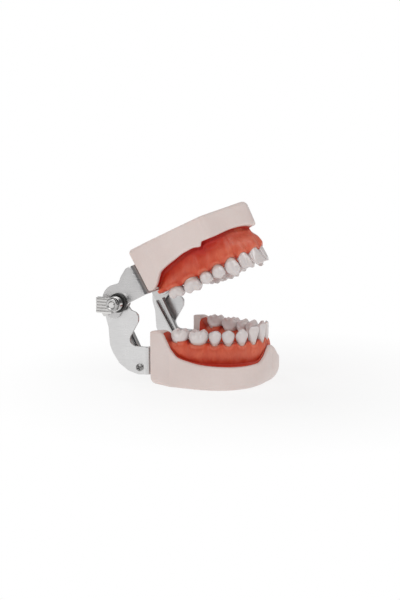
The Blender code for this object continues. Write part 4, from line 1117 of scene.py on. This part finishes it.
def biting_height(jaw, kind, width, depth, x, y, q):
    """Height of the biting surface over the crown's height; q is 1 on its rim, 0 inside."""
    if kind <= 1:
        distal = np.clip((-x / width - 0.22) / 0.26, 0, 1) ** 2
        mesial = np.clip((x / width - 0.3) / 0.2, 0, 1) ** 2
        return -0.38 * q ** 4 - 0.55 * distal * (1.3 if kind == 1 else 0.8) - 0.10 * mesial
    if kind == 2:
        return -0.42 * (np.sqrt((x - 0.04 * width) ** 2 + 0.36) - 0.6) - 0.25 * q ** 4
    half_x, half_y = width / 2, depth / 2
    parts = []
    for mesial, facial, height in CUSPS[jaw.word][kind - 3]:
        tip_x, tip_y = mesial * half_x, facial * half_y
        length = math.hypot(tip_x, tip_y)
        dx, dy, ux, uy = x - tip_x, y - tip_y, -tip_x / length, -tip_y / length
        inward, across = dx * ux + dy * uy, dy * ux - dx * uy
        inward = np.where(inward > 0, 0.72, 1.0) * inward
        distance = np.sqrt(inward ** 2 + (1.05 * across) ** 2 + 0.35 ** 2) - 0.35
        parts.append(height - 0.62 * distance)
    # a marginal ridge at each end
    low = (-1.25 if kind > 4 else -1.15) - (0.6 if not jaw.upper and kind == 3 else 0.0)
    for ridge in (0.84, -0.84):
        dy = np.clip(np.abs(y) - 0.42 * half_y, 0, None)
        distance = np.sqrt((x - ridge * half_x) ** 2 + dy ** 2 + 0.3 ** 2) - 0.3
        parts.append(low - 0.55 * distance)
    # a soft maximum over the cusps and ridges
    parts, hardness = np.array(parts), 4.2
    top = parts.max(0)
    height = top + np.log(np.exp(hardness * (parts - top)).sum(0)) / hardness
    # fine grooves running from the middle
    angle = np.arctan2(y / depth, x / width)
    out = np.sqrt((x / half_x) ** 2 + (y / half_y) ** 2)
    waves = 0.5 + 0.5 * np.cos(angle * (7 if kind > 4 else 4) + kind)
    return height - 0.10 * bell(out, 0.33, 0.2) * waves - 0.10


def wall_relief(upper, kind, width, x, t, face):
    """Lobes and grooves of the outer and inner walls; face is 1 on the facial side."""
    up, u, back = ease(t, 0.22, 0.5), x / width, 1 - face
    if kind <= 1:
        grooves = bell(u, 0.17, 0.09) + bell(u, -0.17, 0.09)
        return (0.10 * bell(u, 0.0, 0.12) - 0.13 * grooves) * up * face
    if kind == 2:
        lobe = 0.30 * bell(u, 0.0, 0.13) - 0.14 * bell(np.abs(u), 0.26, 0.09)
        return lobe * up * face - 0.22 * bell(u, 0.0, 0.14) * ease(t, 0.4, 0.4) * back
    if kind <= 4:
        return (0.24 * bell(u, 0.0, 0.14) - 0.12 * bell(np.abs(u), 0.27, 0.09)) * up * face
    if not upper and kind == 5:
        outer = 0.42 * (bell(x, 0.13 * width, 0.42) + 0.8 * bell(x, -0.17 * width, 0.42))
        outer = outer * ease(t, 0.25, 0.6)
        inner_at = 0.01
    else:
        outer = 0.46 * bell(x, (0.02 if upper else 0.01) * width, 0.48) * ease(t, 0.22, 0.6)
        inner_at = -0.06 if upper else 0.0
    return -outer * face - 0.40 * bell(x, inner_at * width, 0.45) * ease(t, 0.35, 0.55) * back


def tooth_piece(jaw, tooth):
    """A crown in its own axes: mesial +x, facial +y, from below the neck to the biting edge."""
    kind, depth, lean = tooth.kind, tooth.depth, tooth.lean
    width, height = tooth.width + tooth.widen, tooth.height - tooth.cut
    n = 80
    angles = 2 * math.pi * (np.arange(n) + 0.5) / n
    c, s = np.cos(angles), np.sin(angles)
    face = ease(s, -0.15, 0.6)
    mesial, distal = WIDTHS[jaw.word][GROUP[kind]]
    facial, lingual, squareness = DEPTHS[GROUP[kind]]

    def ring(t):
        power = float(hermite(squareness, t))
        x = np.sign(c) * np.abs(c) ** power
        x = x * (np.where(c > 0, hermite(mesial, t), hermite(distal, t)) * width / 2)
        front, back = float(hermite(facial, t)) * depth, float(hermite(lingual, t)) * depth
        middle = (front - back) / 2
        y = middle + np.sign(s) * np.abs(s) ** power * ((front + back) / 2)
        relief = wall_relief(jaw.upper, kind, width, x, t, face) * np.sign(s)
        return x, y + relief * (0.5 if kind <= 1 and t > 0.9 else 1.0), middle

    top_x, top_y, middle = ring(1.0)
    top = biting_height(jaw, kind, width, depth, top_x, top_y, 1.0)
    rows, neck, pit = [], [], []
    levels = np.concatenate([np.linspace(-0.30, 0, 6)[:-1], 1 - (1 - np.linspace(0, 1, 26)) ** 1.35])
    for t in levels:
        x, y, _ = ring(t)
        z = t * (height + top) if t > 0 else np.full(n, t * height)
        rows.append(np.stack([x, y + lean * max(t, 0.0), z], 1))
        neck.append(np.full(n, float(1 - ease(t, -0.02, 0.30))))
        pit.append(np.zeros(n))
    for q in np.linspace(1, 0, 20 if kind > 2 else 10)[1:]:
        x, y = top_x * q, middle + (top_y - middle) * q
        rise = biting_height(jaw, kind, width, depth, x, y, q)
        rows.append(np.stack([x, y + lean, height + rise], 1))
        neck.append(np.zeros(n))
        # painted shade in the deep pits
        pit.append(ease(-rise, 1.7, 0.9) if kind > 2 else np.zeros(n))
    # the last ring has shrunk to a point, so only its first vertex is kept
    rings = len(rows) - 1
    tip = rings * n
    x, y, z = np.array(rows).reshape(-1, 3)[:tip + 1].T
    faces = grid_faces(rings, n)
    faces += [(tip - n + j, tip - n + (j + 1) % n, tip) for j in range(n)]
    faces.append(tuple(range(n)))
    x = x * tooth.side
    c, s = math.cos(tooth.phi - math.pi / 2), math.sin(tooth.phi - math.pi / 2)
    points = np.stack([tooth.x + x * c - y * s, tooth.y + x * s + y * c, tooth.z + z], 1)
    add_piece(tooth.node, "crown", jaw.word, TOOTH, (jaw.flip(points), faces), sharp=None,
              weighted=False, values={"neck": np.array(neck).ravel()[:tip + 1] * 0.75,
                                      "pit": np.array(pit).ravel()[:tip + 1]})


for jaw in (LOWER, UPPER):
    base_piece(jaw)
    gum_piece(jaw)
    for tooth in jaw.teeth:
        tooth_piece(jaw, tooth)


# ------------------------------------------------------------------ sheet-metal brackets
def bracket(body, finish, arm, z_low, z_high, arm_x, bend, plate_y):
    """A plate across the back of a base, bent into two side arms, drawn flat and folded.
    arm: (y, z) of the arm's outline from its lower front to its upper front. arm_x: |x| of its
    mid-sheet. bend: mid-sheet radius. plate_y(z): y of the plate's mid-sheet."""
    bend_start = arm_x - bend
    bend_end = bend_start + bend * math.pi / 2
    half = [(bend_end, z_low)]
    half += [(bend_end + (y - plate_y(z) - bend), z) for y, z in arm]
    half.append((bend_end, z_high))
    corners = half + [(-s, z) for s, z in reversed(half)]
    radii = [0.0 if abs(abs(s) - bend_end) < 1e-6 else 3.2 for s, _ in corners]
    outline = []
    for point in fillet(corners, radii, 5):
        if not outline or np.linalg.norm(point - outline[-1]) > 0.02:
            outline.append(point)
    bevel = 0.28
    points, faces = ring_shape(
        [[(s, z, offset) for s, z in layer]
         for layer, offset in bevelled_layers(outline, -SHEET / 2, SHEET / 2, bevel)], caps=False)
    cap = inset(outline, bevel)
    faces += cap_faces(cap, 0) + cap_faces(cap, len(points) - len(outline), True)
    # cut the flat sheet across both bends, so that it can fold there
    bm = bmesh.new()
    verts = [bm.verts.new(point) for point in points]
    for face in faces:
        bm.faces.new([verts[i] for i in face])
    for sign in (-1, 1):
        for k in range(11):
            at = sign * (bend_start + (bend_end - bend_start) * k / 10)
            bmesh.ops.bisect_plane(bm, geom=bm.verts[:] + bm.edges[:] + bm.faces[:],
                                   plane_co=(at, 0, 0), plane_no=(1, 0, 0))
    bm.verts.index_update()
    s, z, offset = np.array([v.co for v in bm.verts]).T
    faces = [tuple(v.index for v in face.verts) for face in bm.faces]
    bm.free()
    sign, s = np.sign(s), np.abs(s)
    back = np.array([plate_y(height) for height in z])
    angle = np.clip((s - bend_start) / bend, 0, math.pi / 2)
    flat, beyond = s <= bend_start, s > bend_end
    x = np.where(flat, s, bend_start + (bend + offset) * np.sin(angle))
    y = np.where(flat, back - offset, back + bend - (bend + offset) * np.cos(angle))
    x = np.where(beyond, arm_x + offset, x)
    y = np.where(beyond, back + bend + (s - bend_end), y)
    add_piece(f"{body}_bracket", "sheet", body, finish, (np.stack([x * sign, y, z], 1), faces),
              sharp=40)


def rear_face(z):
    """y of the upper base's leaning rear face."""
    return UPPER_REAR_Y + (z - LEAN_Z) * REAR_LEAN


LOWER_ARM = (
    [(38.0, 4.3), (44.5, 6.0), (50.3, 9.7), (54.5, 15.7), (56.4, 20.1), (57.2, 30.4),
     (58.9, 36.0)] + arc(HINGE_Y, HINGE_Z, 9.5, 0, 118, 14)
    + [(45.2, 51.0), (45.2, 45.0), (42.6, 41.3), (39.6, 40.3), (37.6, 38.4), (37.9, 34.8),
       (41.0, 29.5), (43.6, 24.9), (42.8, 22.2), (41.0, 20.7)])
UPPER_ARM = (
    [(42.0, 42.7), (44.2, 42.3), (49.0, 40.6), (53.5, 37.9), (56.4, 38.0)]
    + arc(HINGE_Y, HINGE_Z, 10.8, -36, 86, 16)
    + [(47.6, 55.9), (44.6, 55.2), (41.4, 58.2), (36.8, 61.0)])
bracket("lower", LOWER_SHEET, LOWER_ARM, z_low=4.6, z_high=20.7, arm_x=(ARM_IN + ARM_OUT) / 2,
        bend=2.6, plate_y=lambda z: REAR_Y + GAP + SHEET / 2)
bracket("upper", UPPER_SHEET, UPPER_ARM, z_low=43.0, z_high=61.2, arm_x=(LUG_IN + LUG_OUT) / 2,
        bend=3.4, plate_y=lambda z: rear_face(z) + GAP + SHEET / 2)


# ------------------------------------------------------------------ stop bail
BAIL_SHEET, BAIL_BEND, BAIL_FLANGE = BAIL_OUT - BAIL_IN, 1.15, 1.6
# (z, y) of a leg's front and back faces
BAIL_FRONT = ((13.4, 51.5), (20.0, 51.6), (40.6, 52.4))
BAIL_BACK = ((13.4, 56.0), (15.0, 56.0), (20.0, 56.2), (41.0, 58.2))


def bail_ring(side, z):
    """A leg's channel section: two flanges towards the mid-plane, joined by an outer web."""
    half, bend = BAIL_SHEET / 2, BAIL_BEND
    front = float(np.interp(z, *zip(*BAIL_FRONT))) + half
    back = float(np.interp(z, *zip(*BAIL_BACK))) - half
    web, tip = (BAIL_IN + BAIL_OUT) / 2, BAIL_IN - BAIL_FLANGE
    centre = web - bend
    turns = [(math.cos(w), math.sin(w)) for w in quarter(8)[1:]]
    # mid-sheet line: x, y and the outward normal
    line = [(tip + (centre - tip) * k / 4, front, 0.0, -1.0) for k in range(5)]
    line += [(centre + bend * s, front + bend - bend * c, s, -c) for c, s in turns]
    line += [(web, front + bend + (back - front - 2 * bend) * k / 4, 1.0, 0.0)
             for k in range(1, 5)]
    line += [(centre + bend * c, back - bend + bend * s, c, s) for c, s in turns]
    line += [(centre + (tip - centre) * k / 4, back, 0.0, 1.0) for k in range(1, 5)]
    line = np.array(line)
    middle, normal = line[:, :2], line[:, 2:]

    def flange_edge(at, across, edge=0.25, angles=(0.5, 1.0, 1.57)):
        start = [(edge * math.sin(w), half - edge + edge * math.cos(w)) for w in angles]
        return ([at - (out, 0.0) + across * wide for out, wide in start]
                + [at - (out, 0.0) - across * wide for out, wide in reversed(start)])

    ring = (list(middle + normal * half) + flange_edge(middle[-1], normal[-1])
            + list((middle - normal * half)[::-1]) + flange_edge(middle[0], -normal[0]))
    return [(side * x, y, z) for x, y in ring]


def bail_piece():
    heights = [13.4 + (40.2 - 13.4) * k / 40 for k in range(41)]
    lobe = ([(53.2, 36.5), (52.6, 38.4), (48.3, 40.9), (45.3, 44.6)]
            + arc(HINGE_Y + 1.0, HINGE_Z, 8.15, 150, 20, 16)
            + [(58.5, 45.3), (58.1, 41.0), (57.2, 36.5)])
    lobe = fillet(lobe, 1.0, 3)
    parts = []
    for side in (-1, 1):
        parts.append(ring_shape([bail_ring(side, z) for z in heights]))
        parts.append(plate(lobe, side * (BAIL_IN + 0.03), side * (BAIL_OUT - 0.03), 0.22))
    # the foot bar between the legs, that meets the lower plate when the jaw is fully open
    bar = [(51.45, 13.35), (55.95, 13.35), (55.95, 14.95), (51.45, 14.95)]
    bar_end = BAIL_OUT - 0.05
    parts.append(plate(fillet(bar, 0.45, 4), -bar_end, bar_end, 0.3))
    add_piece("stop_bail", "sheet", "upper", POLISHED, joined(*parts), sharp=40)


bail_piece()


# ------------------------------------------------------------------ screws
def pan_screw(at, axis):
    """A pan-head screw with a cross recess; at is under the head, the axis runs down the shank."""
    head_r, head_h, shank, length = 2.15, 1.5, 1.2, 4.6
    arm, slot = head_r * 0.62, head_r * 0.17
    head = [(-head_h, 1e-3)]
    head += [(-head_h * (1 - 0.35 * q ** 2.2), head_r * q * 0.97) for q in np.linspace(0.06, 1, 22)]
    head += [(-head_h * 0.5, head_r), (-0.12, head_r), (0.0, head_r - 0.12), (0.0, shank)]

    def recess(distance, radius, angle):
        if distance >= -head_h * 0.5:
            return distance, radius
        a = abs(radius * math.cos(angle + 0.5))
        b = abs(radius * math.sin(angle + 0.5))
        inside = max(min(arm - a, slot - b), min(arm - b, slot - a))
        return distance + min(max(inside * 3.5, 0.0), head_h * 0.45), radius

    body = [(0.0, shank - 0.3), (0.01, shank)]
    body += [(d, shank) for d in np.arange(0.1, length - 0.3, 0.1)] + [(length, shank * 0.7)]
    return joined(lathe(head, at, axis, 96, recess),
                  lathe(body, at, axis, 32, thread(shank, 0.5, 0.14)))


def socket_screw(at, axis, length):
    """A knurled cap screw with a hexagon socket; at is under the head."""
    head_r, head_h, shank = 2.6, 1.9, 1.4
    socket = hexagon(head_r * 0.5)
    profile = [
        (-head_h * 0.35, 1e-3), (-head_h * 0.35, head_r * 0.42), (-head_h * 0.36, head_r * 0.50),
        (-head_h * 0.9, head_r * 0.51), (-head_h, head_r * 0.55), (-head_h, head_r * 0.60),
        (-head_h, head_r * 0.86), (-head_h + 0.12, head_r * 0.96), (-head_h + 0.3, head_r),
        (-0.15, head_r), (0.0, head_r - 0.12), (0.0, shank), (0.1, shank)]
    profile += [(d, shank) for d in np.arange(0.2, length - 0.3, 0.12)] + [(length, shank * 0.7)]
    cut_thread = thread(shank, 0.6, 0.16)

    def reform(distance, radius, angle):
        if distance > 0.1:
            return cut_thread(distance, radius, angle)
        if head_r * 0.45 < radius < head_r * 0.56:
            return distance, socket(angle) * radius / (head_r * 0.5) * 0.96
        knurl = 0.05 * (0.5 + 0.5 * math.cos(angle * 24)) if radius > head_r * 0.97 else 0.0
        return distance, radius - knurl
    return lathe(profile, at, axis, 96, reform)


# ------------------------------------------------------------------ hinge stack
AXIS = (0.0, HINGE_Y, HINGE_Z)
BORE = AXLE_R + 0.1
NUT_BORE = AXLE_R + 0.05
LOWER_SCREW_X, LOWER_SCREW_Z = 23.5, 12.7
UPPER_SCREW_X, UPPER_SCREW_Z = 19.0, 52.5
ARM_SCREW_YZ = (37.0, 8.6)
BACK = REAR_Y + GAP + SHEET + GAP
UPPER_BACK = rear_face(UPPER_SCREW_Z) + GAP + SHEET
TAB_AT = LUG_OUT + 1.7
LEVER_IN, LEVER_OUT = TAB_AT + 1.2, TAB_AT + 4.2


def outer_bush(out):
    """A bush with a stepped outer face and a knurled flange."""
    inner, outer = LUG_OUT + 0.05, LUG_OUT + 1.45
    profile = [(inner, BORE), (outer, BORE), (outer, 3.6), (outer - 0.2, 3.75),
               (outer - 0.2, 4.35), (outer, 4.5)]
    profile += [(outer - 0.45 * (1 - math.cos(w)), 5.15 + 0.45 * math.sin(w))
                for w in (0.0, 0.4, 0.8, 1.2, 1.57)]
    profile += [(LUG_OUT + 0.35, 5.6), (LUG_OUT + 0.1, 5.5), (inner, 5.3)]

    def knurl(distance, radius, angle):
        cut = 0.09 * (0.5 + 0.5 * math.cos(angle * 30)) if radius > 5.55 else 0.0
        return distance, radius - cut
    return lathe(profile, AXIS, out, 96, knurl, closed=True)


def pivot_bolt(out, end):
    """A stud threaded at both ends."""
    profile = [(22.4, 1e-3), (22.4, AXLE_R * 0.72), (22.7, AXLE_R - 0.02)]
    profile += [(d, AXLE_R) for d in np.arange(22.8, 27.5, 0.1)]
    profile += [(27.6, AXLE_R), (end - 3.2, AXLE_R)]
    profile += [(d, AXLE_R) for d in np.arange(end - 3.1, end - 0.45, 0.1)]
    profile += [(end - 0.3, AXLE_R - 0.05), (end, AXLE_R * 0.76), (end, 1e-3)]
    cut_thread = thread(AXLE_R, 0.7, 0.2)

    def reform(distance, radius, angle):
        if (distance < 27.5 or distance > end - 3.15) and radius > AXLE_R - 0.1:
            return cut_thread(distance, radius, angle)
        return distance, radius
    return lathe(profile, AXIS, out, 56, reform)


for side, word, bolt_end in ((-1, "right", 40.2), (1, "left", 36.45)):
    out, inwards = (side, 0, 0), (-side, 0, 0)
    add_piece(f"lower_bracket_screw_{word}", "cap", "lower", BRIGHT, socket_screw(
        (side * LOWER_SCREW_X, BACK - 0.3, LOWER_SCREW_Z), (0, -1, 0), length=8.5))
    add_piece(f"upper_bracket_screw_{word}", "cap", "upper", BRIGHT, socket_screw(
        (side * UPPER_SCREW_X, UPPER_BACK + 0.05, UPPER_SCREW_Z), (0, -1, REAR_LEAN), length=8.0))
    add_piece(f"arm_screw_{word}", "pan", "lower", ZINC,
              pan_screw((side * (ARM_OUT + 0.05), *ARM_SCREW_YZ), inwards))
    add_piece(f"arm_screw_nut_{word}", "hex", "lower", BRIGHT,
              nut(0.0, 1.6, 2.7, 1.22, (side * (ARM_IN - 0.05), *ARM_SCREW_YZ), inwards))
    add_piece(f"friction_bush_{word}", "ring", "lower", BUSH,
              washer(ARM_IN - 0.12, ARM_OUT + 0.12, BORE, 3.85, 0.15, AXIS, out, 64))
    add_piece(f"outer_bush_{word}", "ring", "upper", BUSH, outer_bush(out))
    add_piece(f"inner_washer_{word}", "disc", "upper", BRIGHT,
              washer(BAIL_OUT + 0.1, ARM_IN - 0.1, BORE, 4.4, 0.2, AXIS, out, 72))
    add_piece(f"inner_nut_{word}", "hex", "upper", BRIGHT,
              nut(BAIL_IN - 0.05, BAIL_IN - 2.5, 4.1, NUT_BORE, AXIS, out, turn=0.3))
    add_piece(f"pivot_bolt_{word}", "stud", "upper", BRIGHT, pivot_bolt(out, bolt_end))


def tab_washer():
    """A washer on the right side with a straight tab."""
    outline = arc(0, 0, 3.3, 45, 315, 30) + [(5.2, -2.85), (11.4, -2.8), (11.4, 2.8), (5.2, 2.85)]
    outline = fillet(outline, [0.0] * 30 + [1.6, 1.0, 1.0, 1.6])
    return plate(about_hinge(outline, math.radians(-32.0) - REST),
                 -TAB_AT + 0.2, -(TAB_AT + 0.95), 0.22)


def lock_lever():
    """A hub and a grooved grip on the right side, level at rest."""
    hub = [(LEVER_IN - 0.1, 1e-3), (LEVER_IN - 0.1, 4.1), (LEVER_IN + 0.2, 4.35),
           (LEVER_OUT - 0.35, 4.35), (LEVER_OUT - 0.1, 4.27), (LEVER_OUT, 4.1),
           (LEVER_OUT, 3.9), (LEVER_OUT - 0.12, 3.8), (LEVER_OUT - 0.12, 1e-3)]
    # grip section: distance out, height, rounding
    section = [(LEVER_IN, 3.4, 0.6), (LEVER_IN, -5.7, 0.6), (LEVER_OUT, -5.7, 0.6)]
    for k in range(5):
        groove, floor = -4.35 + 1.72 * k, LEVER_OUT - 0.38
        section += [(LEVER_OUT, groove - 0.34, 0.12), (floor, groove - 0.10, 0.08),
                    (floor, groove + 0.10, 0.08), (LEVER_OUT, groove + 0.34, 0.12)]
    section.append((LEVER_OUT, 3.4, 0.6))
    outline = fillet([p[:2] for p in section], [p[2] for p in section], 4)
    low, high = outline.min(0), outline.max(0)
    middle = (low + high) / 2
    length, edge = 11.5, 0.55
    # (distance along the grip, shrink)
    cuts = [(1.6, 0.0), (3.0, 0.0), (6.0, 0.0), (9.0, 0.0)]
    cuts += [(length - edge + edge * math.sin(w), edge * (1 - math.cos(w))) for w in quarter(5)]
    rings = []
    for along, shrink in cuts:
        cut = middle + (outline - middle) * (1 - 2 * shrink / (high - low))
        placed = about_hinge([(along, v) for _, v in cut], -REST)
        rings.append([(-x, y, z) for (x, _), (y, z) in zip(cut, placed)])
    return joined(lathe(hub, AXIS, (-1, 0, 0), 96), ring_shape(rings))


add_piece("tab_washer", "plate", "upper", BRIGHT, tab_washer())
add_piece("far_washer", "disc", "upper", BRIGHT,
          washer(TAB_AT - 0.1, TAB_AT + 0.85, BORE, 4.6, 0.22, AXIS, (1, 0, 0), 72))
add_piece("far_nut", "hex", "upper", BRIGHT,
          nut(TAB_AT + 0.95, TAB_AT + 3.6, 4.0, NUT_BORE, AXIS, (1, 0, 0), turn=0.2))
add_piece("lock_lever", "grip", "lever", BRIGHT, lock_lever(), sharp=35)
add_piece("clamp_nut", "hex", "lever", DARK_NUT_STEEL,
          nut(LEVER_OUT + 0.05, LEVER_OUT + 2.7, 4.0, NUT_BORE, AXIS, (-1, 0, 0), turn=0.15))


# ------------------------------------------------------------------ stage, light, camera
AZIMUTH, ELEVATION = math.radians(25), math.radians(10.6)
VIEW = Vector((-math.cos(AZIMUTH) * math.cos(ELEVATION),
               -math.sin(AZIMUTH) * math.cos(ELEVATION), math.sin(ELEVATION)))


def add_floor():
    """A pale floor that glows more, away from the model."""
    mesh = bpy.data.meshes.new("floor")
    mesh.from_pydata([(-3, -3, 0), (3, -3, 0), (3, 3, 0), (-3, 3, 0)], [], [(0, 1, 2, 3)])
    floor = bpy.data.objects.new("floor", mesh)
    floor.location.z = -0.0002
    bpy.context.scene.collection.objects.link(floor)
    look = Surface("pale_floor")
    material, _ = look.finish(None, {"Base Color": (0.93, 0.93, 0.93), "Roughness": 0.55,
                                     "Specular IOR Level": 0.25})
    glow = look.node("ShaderNodeEmission", {"Color": (1, 1, 1)})
    where = look.node("ShaderNodeTexCoord").outputs["Object"]
    distance = look.node("ShaderNodeVectorMath", {0: where}, operation="LENGTH")
    fade = look.remap(distance.outputs["Value"], over=(0.04, 0.16), to=(0.78, 1.0))
    both = look.node("ShaderNodeMixShader",
                     {0: fade, 1: look.shader.outputs[0], 2: glow.outputs[0]})
    look.feed(look.tree.nodes["Material Output"].inputs["Surface"], both.outputs[0])
    mesh.materials.append(material)
    floor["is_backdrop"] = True


def add_world():
    """White to the camera; a grey room, dark behind the camera in reflections, to the rest."""
    world = bpy.data.worlds.new("studio")
    bpy.context.scene.world = world
    world.use_nodes = True
    room = Graph(world.node_tree)
    room.tree.nodes.remove(room.tree.nodes["Background"])
    direction = room.node("ShaderNodeTexCoord").outputs["Generated"]
    height = room.node("ShaderNodeSeparateXYZ", {0: direction}).outputs["Z"]
    towards = room.node("ShaderNodeVectorMath", {0: direction, 1: tuple(VIEW)},
                        operation="DOT_PRODUCT").outputs["Value"]
    dark = room.remap(towards, over=(0.72, 0.95), to=(0.0, 1.0))
    grey = room.ramp(room.remap(height, over=(-0.2, 1.0), to=(0.0, 1.0)),
                     {0.0: (0.62, 0.62, 0.63), 0.25: (0.80, 0.80, 0.80), 1.0: (1.0, 1.0, 1.0)})
    path = room.node("ShaderNodeLightPath")
    not_diffuse = room.calc("SUBTRACT", 1.0, path.outputs["Is Diffuse Ray"])
    colour = room.mix(grey, (0.10, 0.10, 0.11), amount=room.times(dark, by=not_diffuse))
    lit = room.node("ShaderNodeBackground", {"Strength": 0.47, "Color": colour})
    white = room.node("ShaderNodeBackground", {"Strength": 1.0, "Color": (1, 1, 1)})
    pick = room.node("ShaderNodeMixShader", {
        0: path.outputs["Is Camera Ray"], 1: lit.outputs[0], 2: white.outputs[0]})
    room.feed(room.tree.nodes["World Output"].inputs["Surface"], pick.outputs[0])


def aim(obj, at, target):
    obj.location = at
    obj.rotation_euler = (target - at).to_track_quat("-Z", "Y").to_euler()


def softbox(name, offset, size, energy):
    """A rectangular light that looks at the middle of the model."""
    centre = Vector((0.0, FORWARD * MM, 0.045))
    data = bpy.data.lights.new(name, "AREA")
    data.shape = "RECTANGLE"
    data.size, data.size_y = size
    data.energy = energy
    light = bpy.data.objects.new(name, data)
    aim(light, centre + Vector(offset), centre)
    bpy.context.scene.collection.objects.link(light)
    return light


def add_camera():
    data = bpy.data.cameras.new("camera")
    camera = bpy.data.objects.new("camera", data)
    bpy.context.scene.collection.objects.link(camera)
    target = Vector((0.0, FORWARD * MM, (35.0 + FOOT) * MM))
    aim(camera, target + VIEW * 0.9, target)
    data.sensor_width = 36.0
    data.lens = 94.23
    data.shift_x = -0.0348333
    data.shift_y = 0.0301667
    data.clip_start = 0.01
    bpy.context.scene.camera = camera


add_floor()
add_world()
softbox("key", offset=(-0.05, -0.55, 0.62), size=(0.45, 0.35), energy=1.5)
softbox("side_fill", offset=(-0.75, 0.18, 0.35), size=(0.5, 0.4), energy=1.4)
front_fill = softbox("front_fill", offset=VIEW * 0.8 + Vector((0.0, -0.25, 0.1)),
                     size=(0.7, 0.6), energy=0.7)
front_fill.visible_glossy = False
softbox("rim", offset=(0.35, 0.65, 0.55), size=(0.4, 0.3), energy=1.6)
add_camera()
bpy.context.scene.view_settings.view_transform = "Standard"

AFTER = plain(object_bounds())
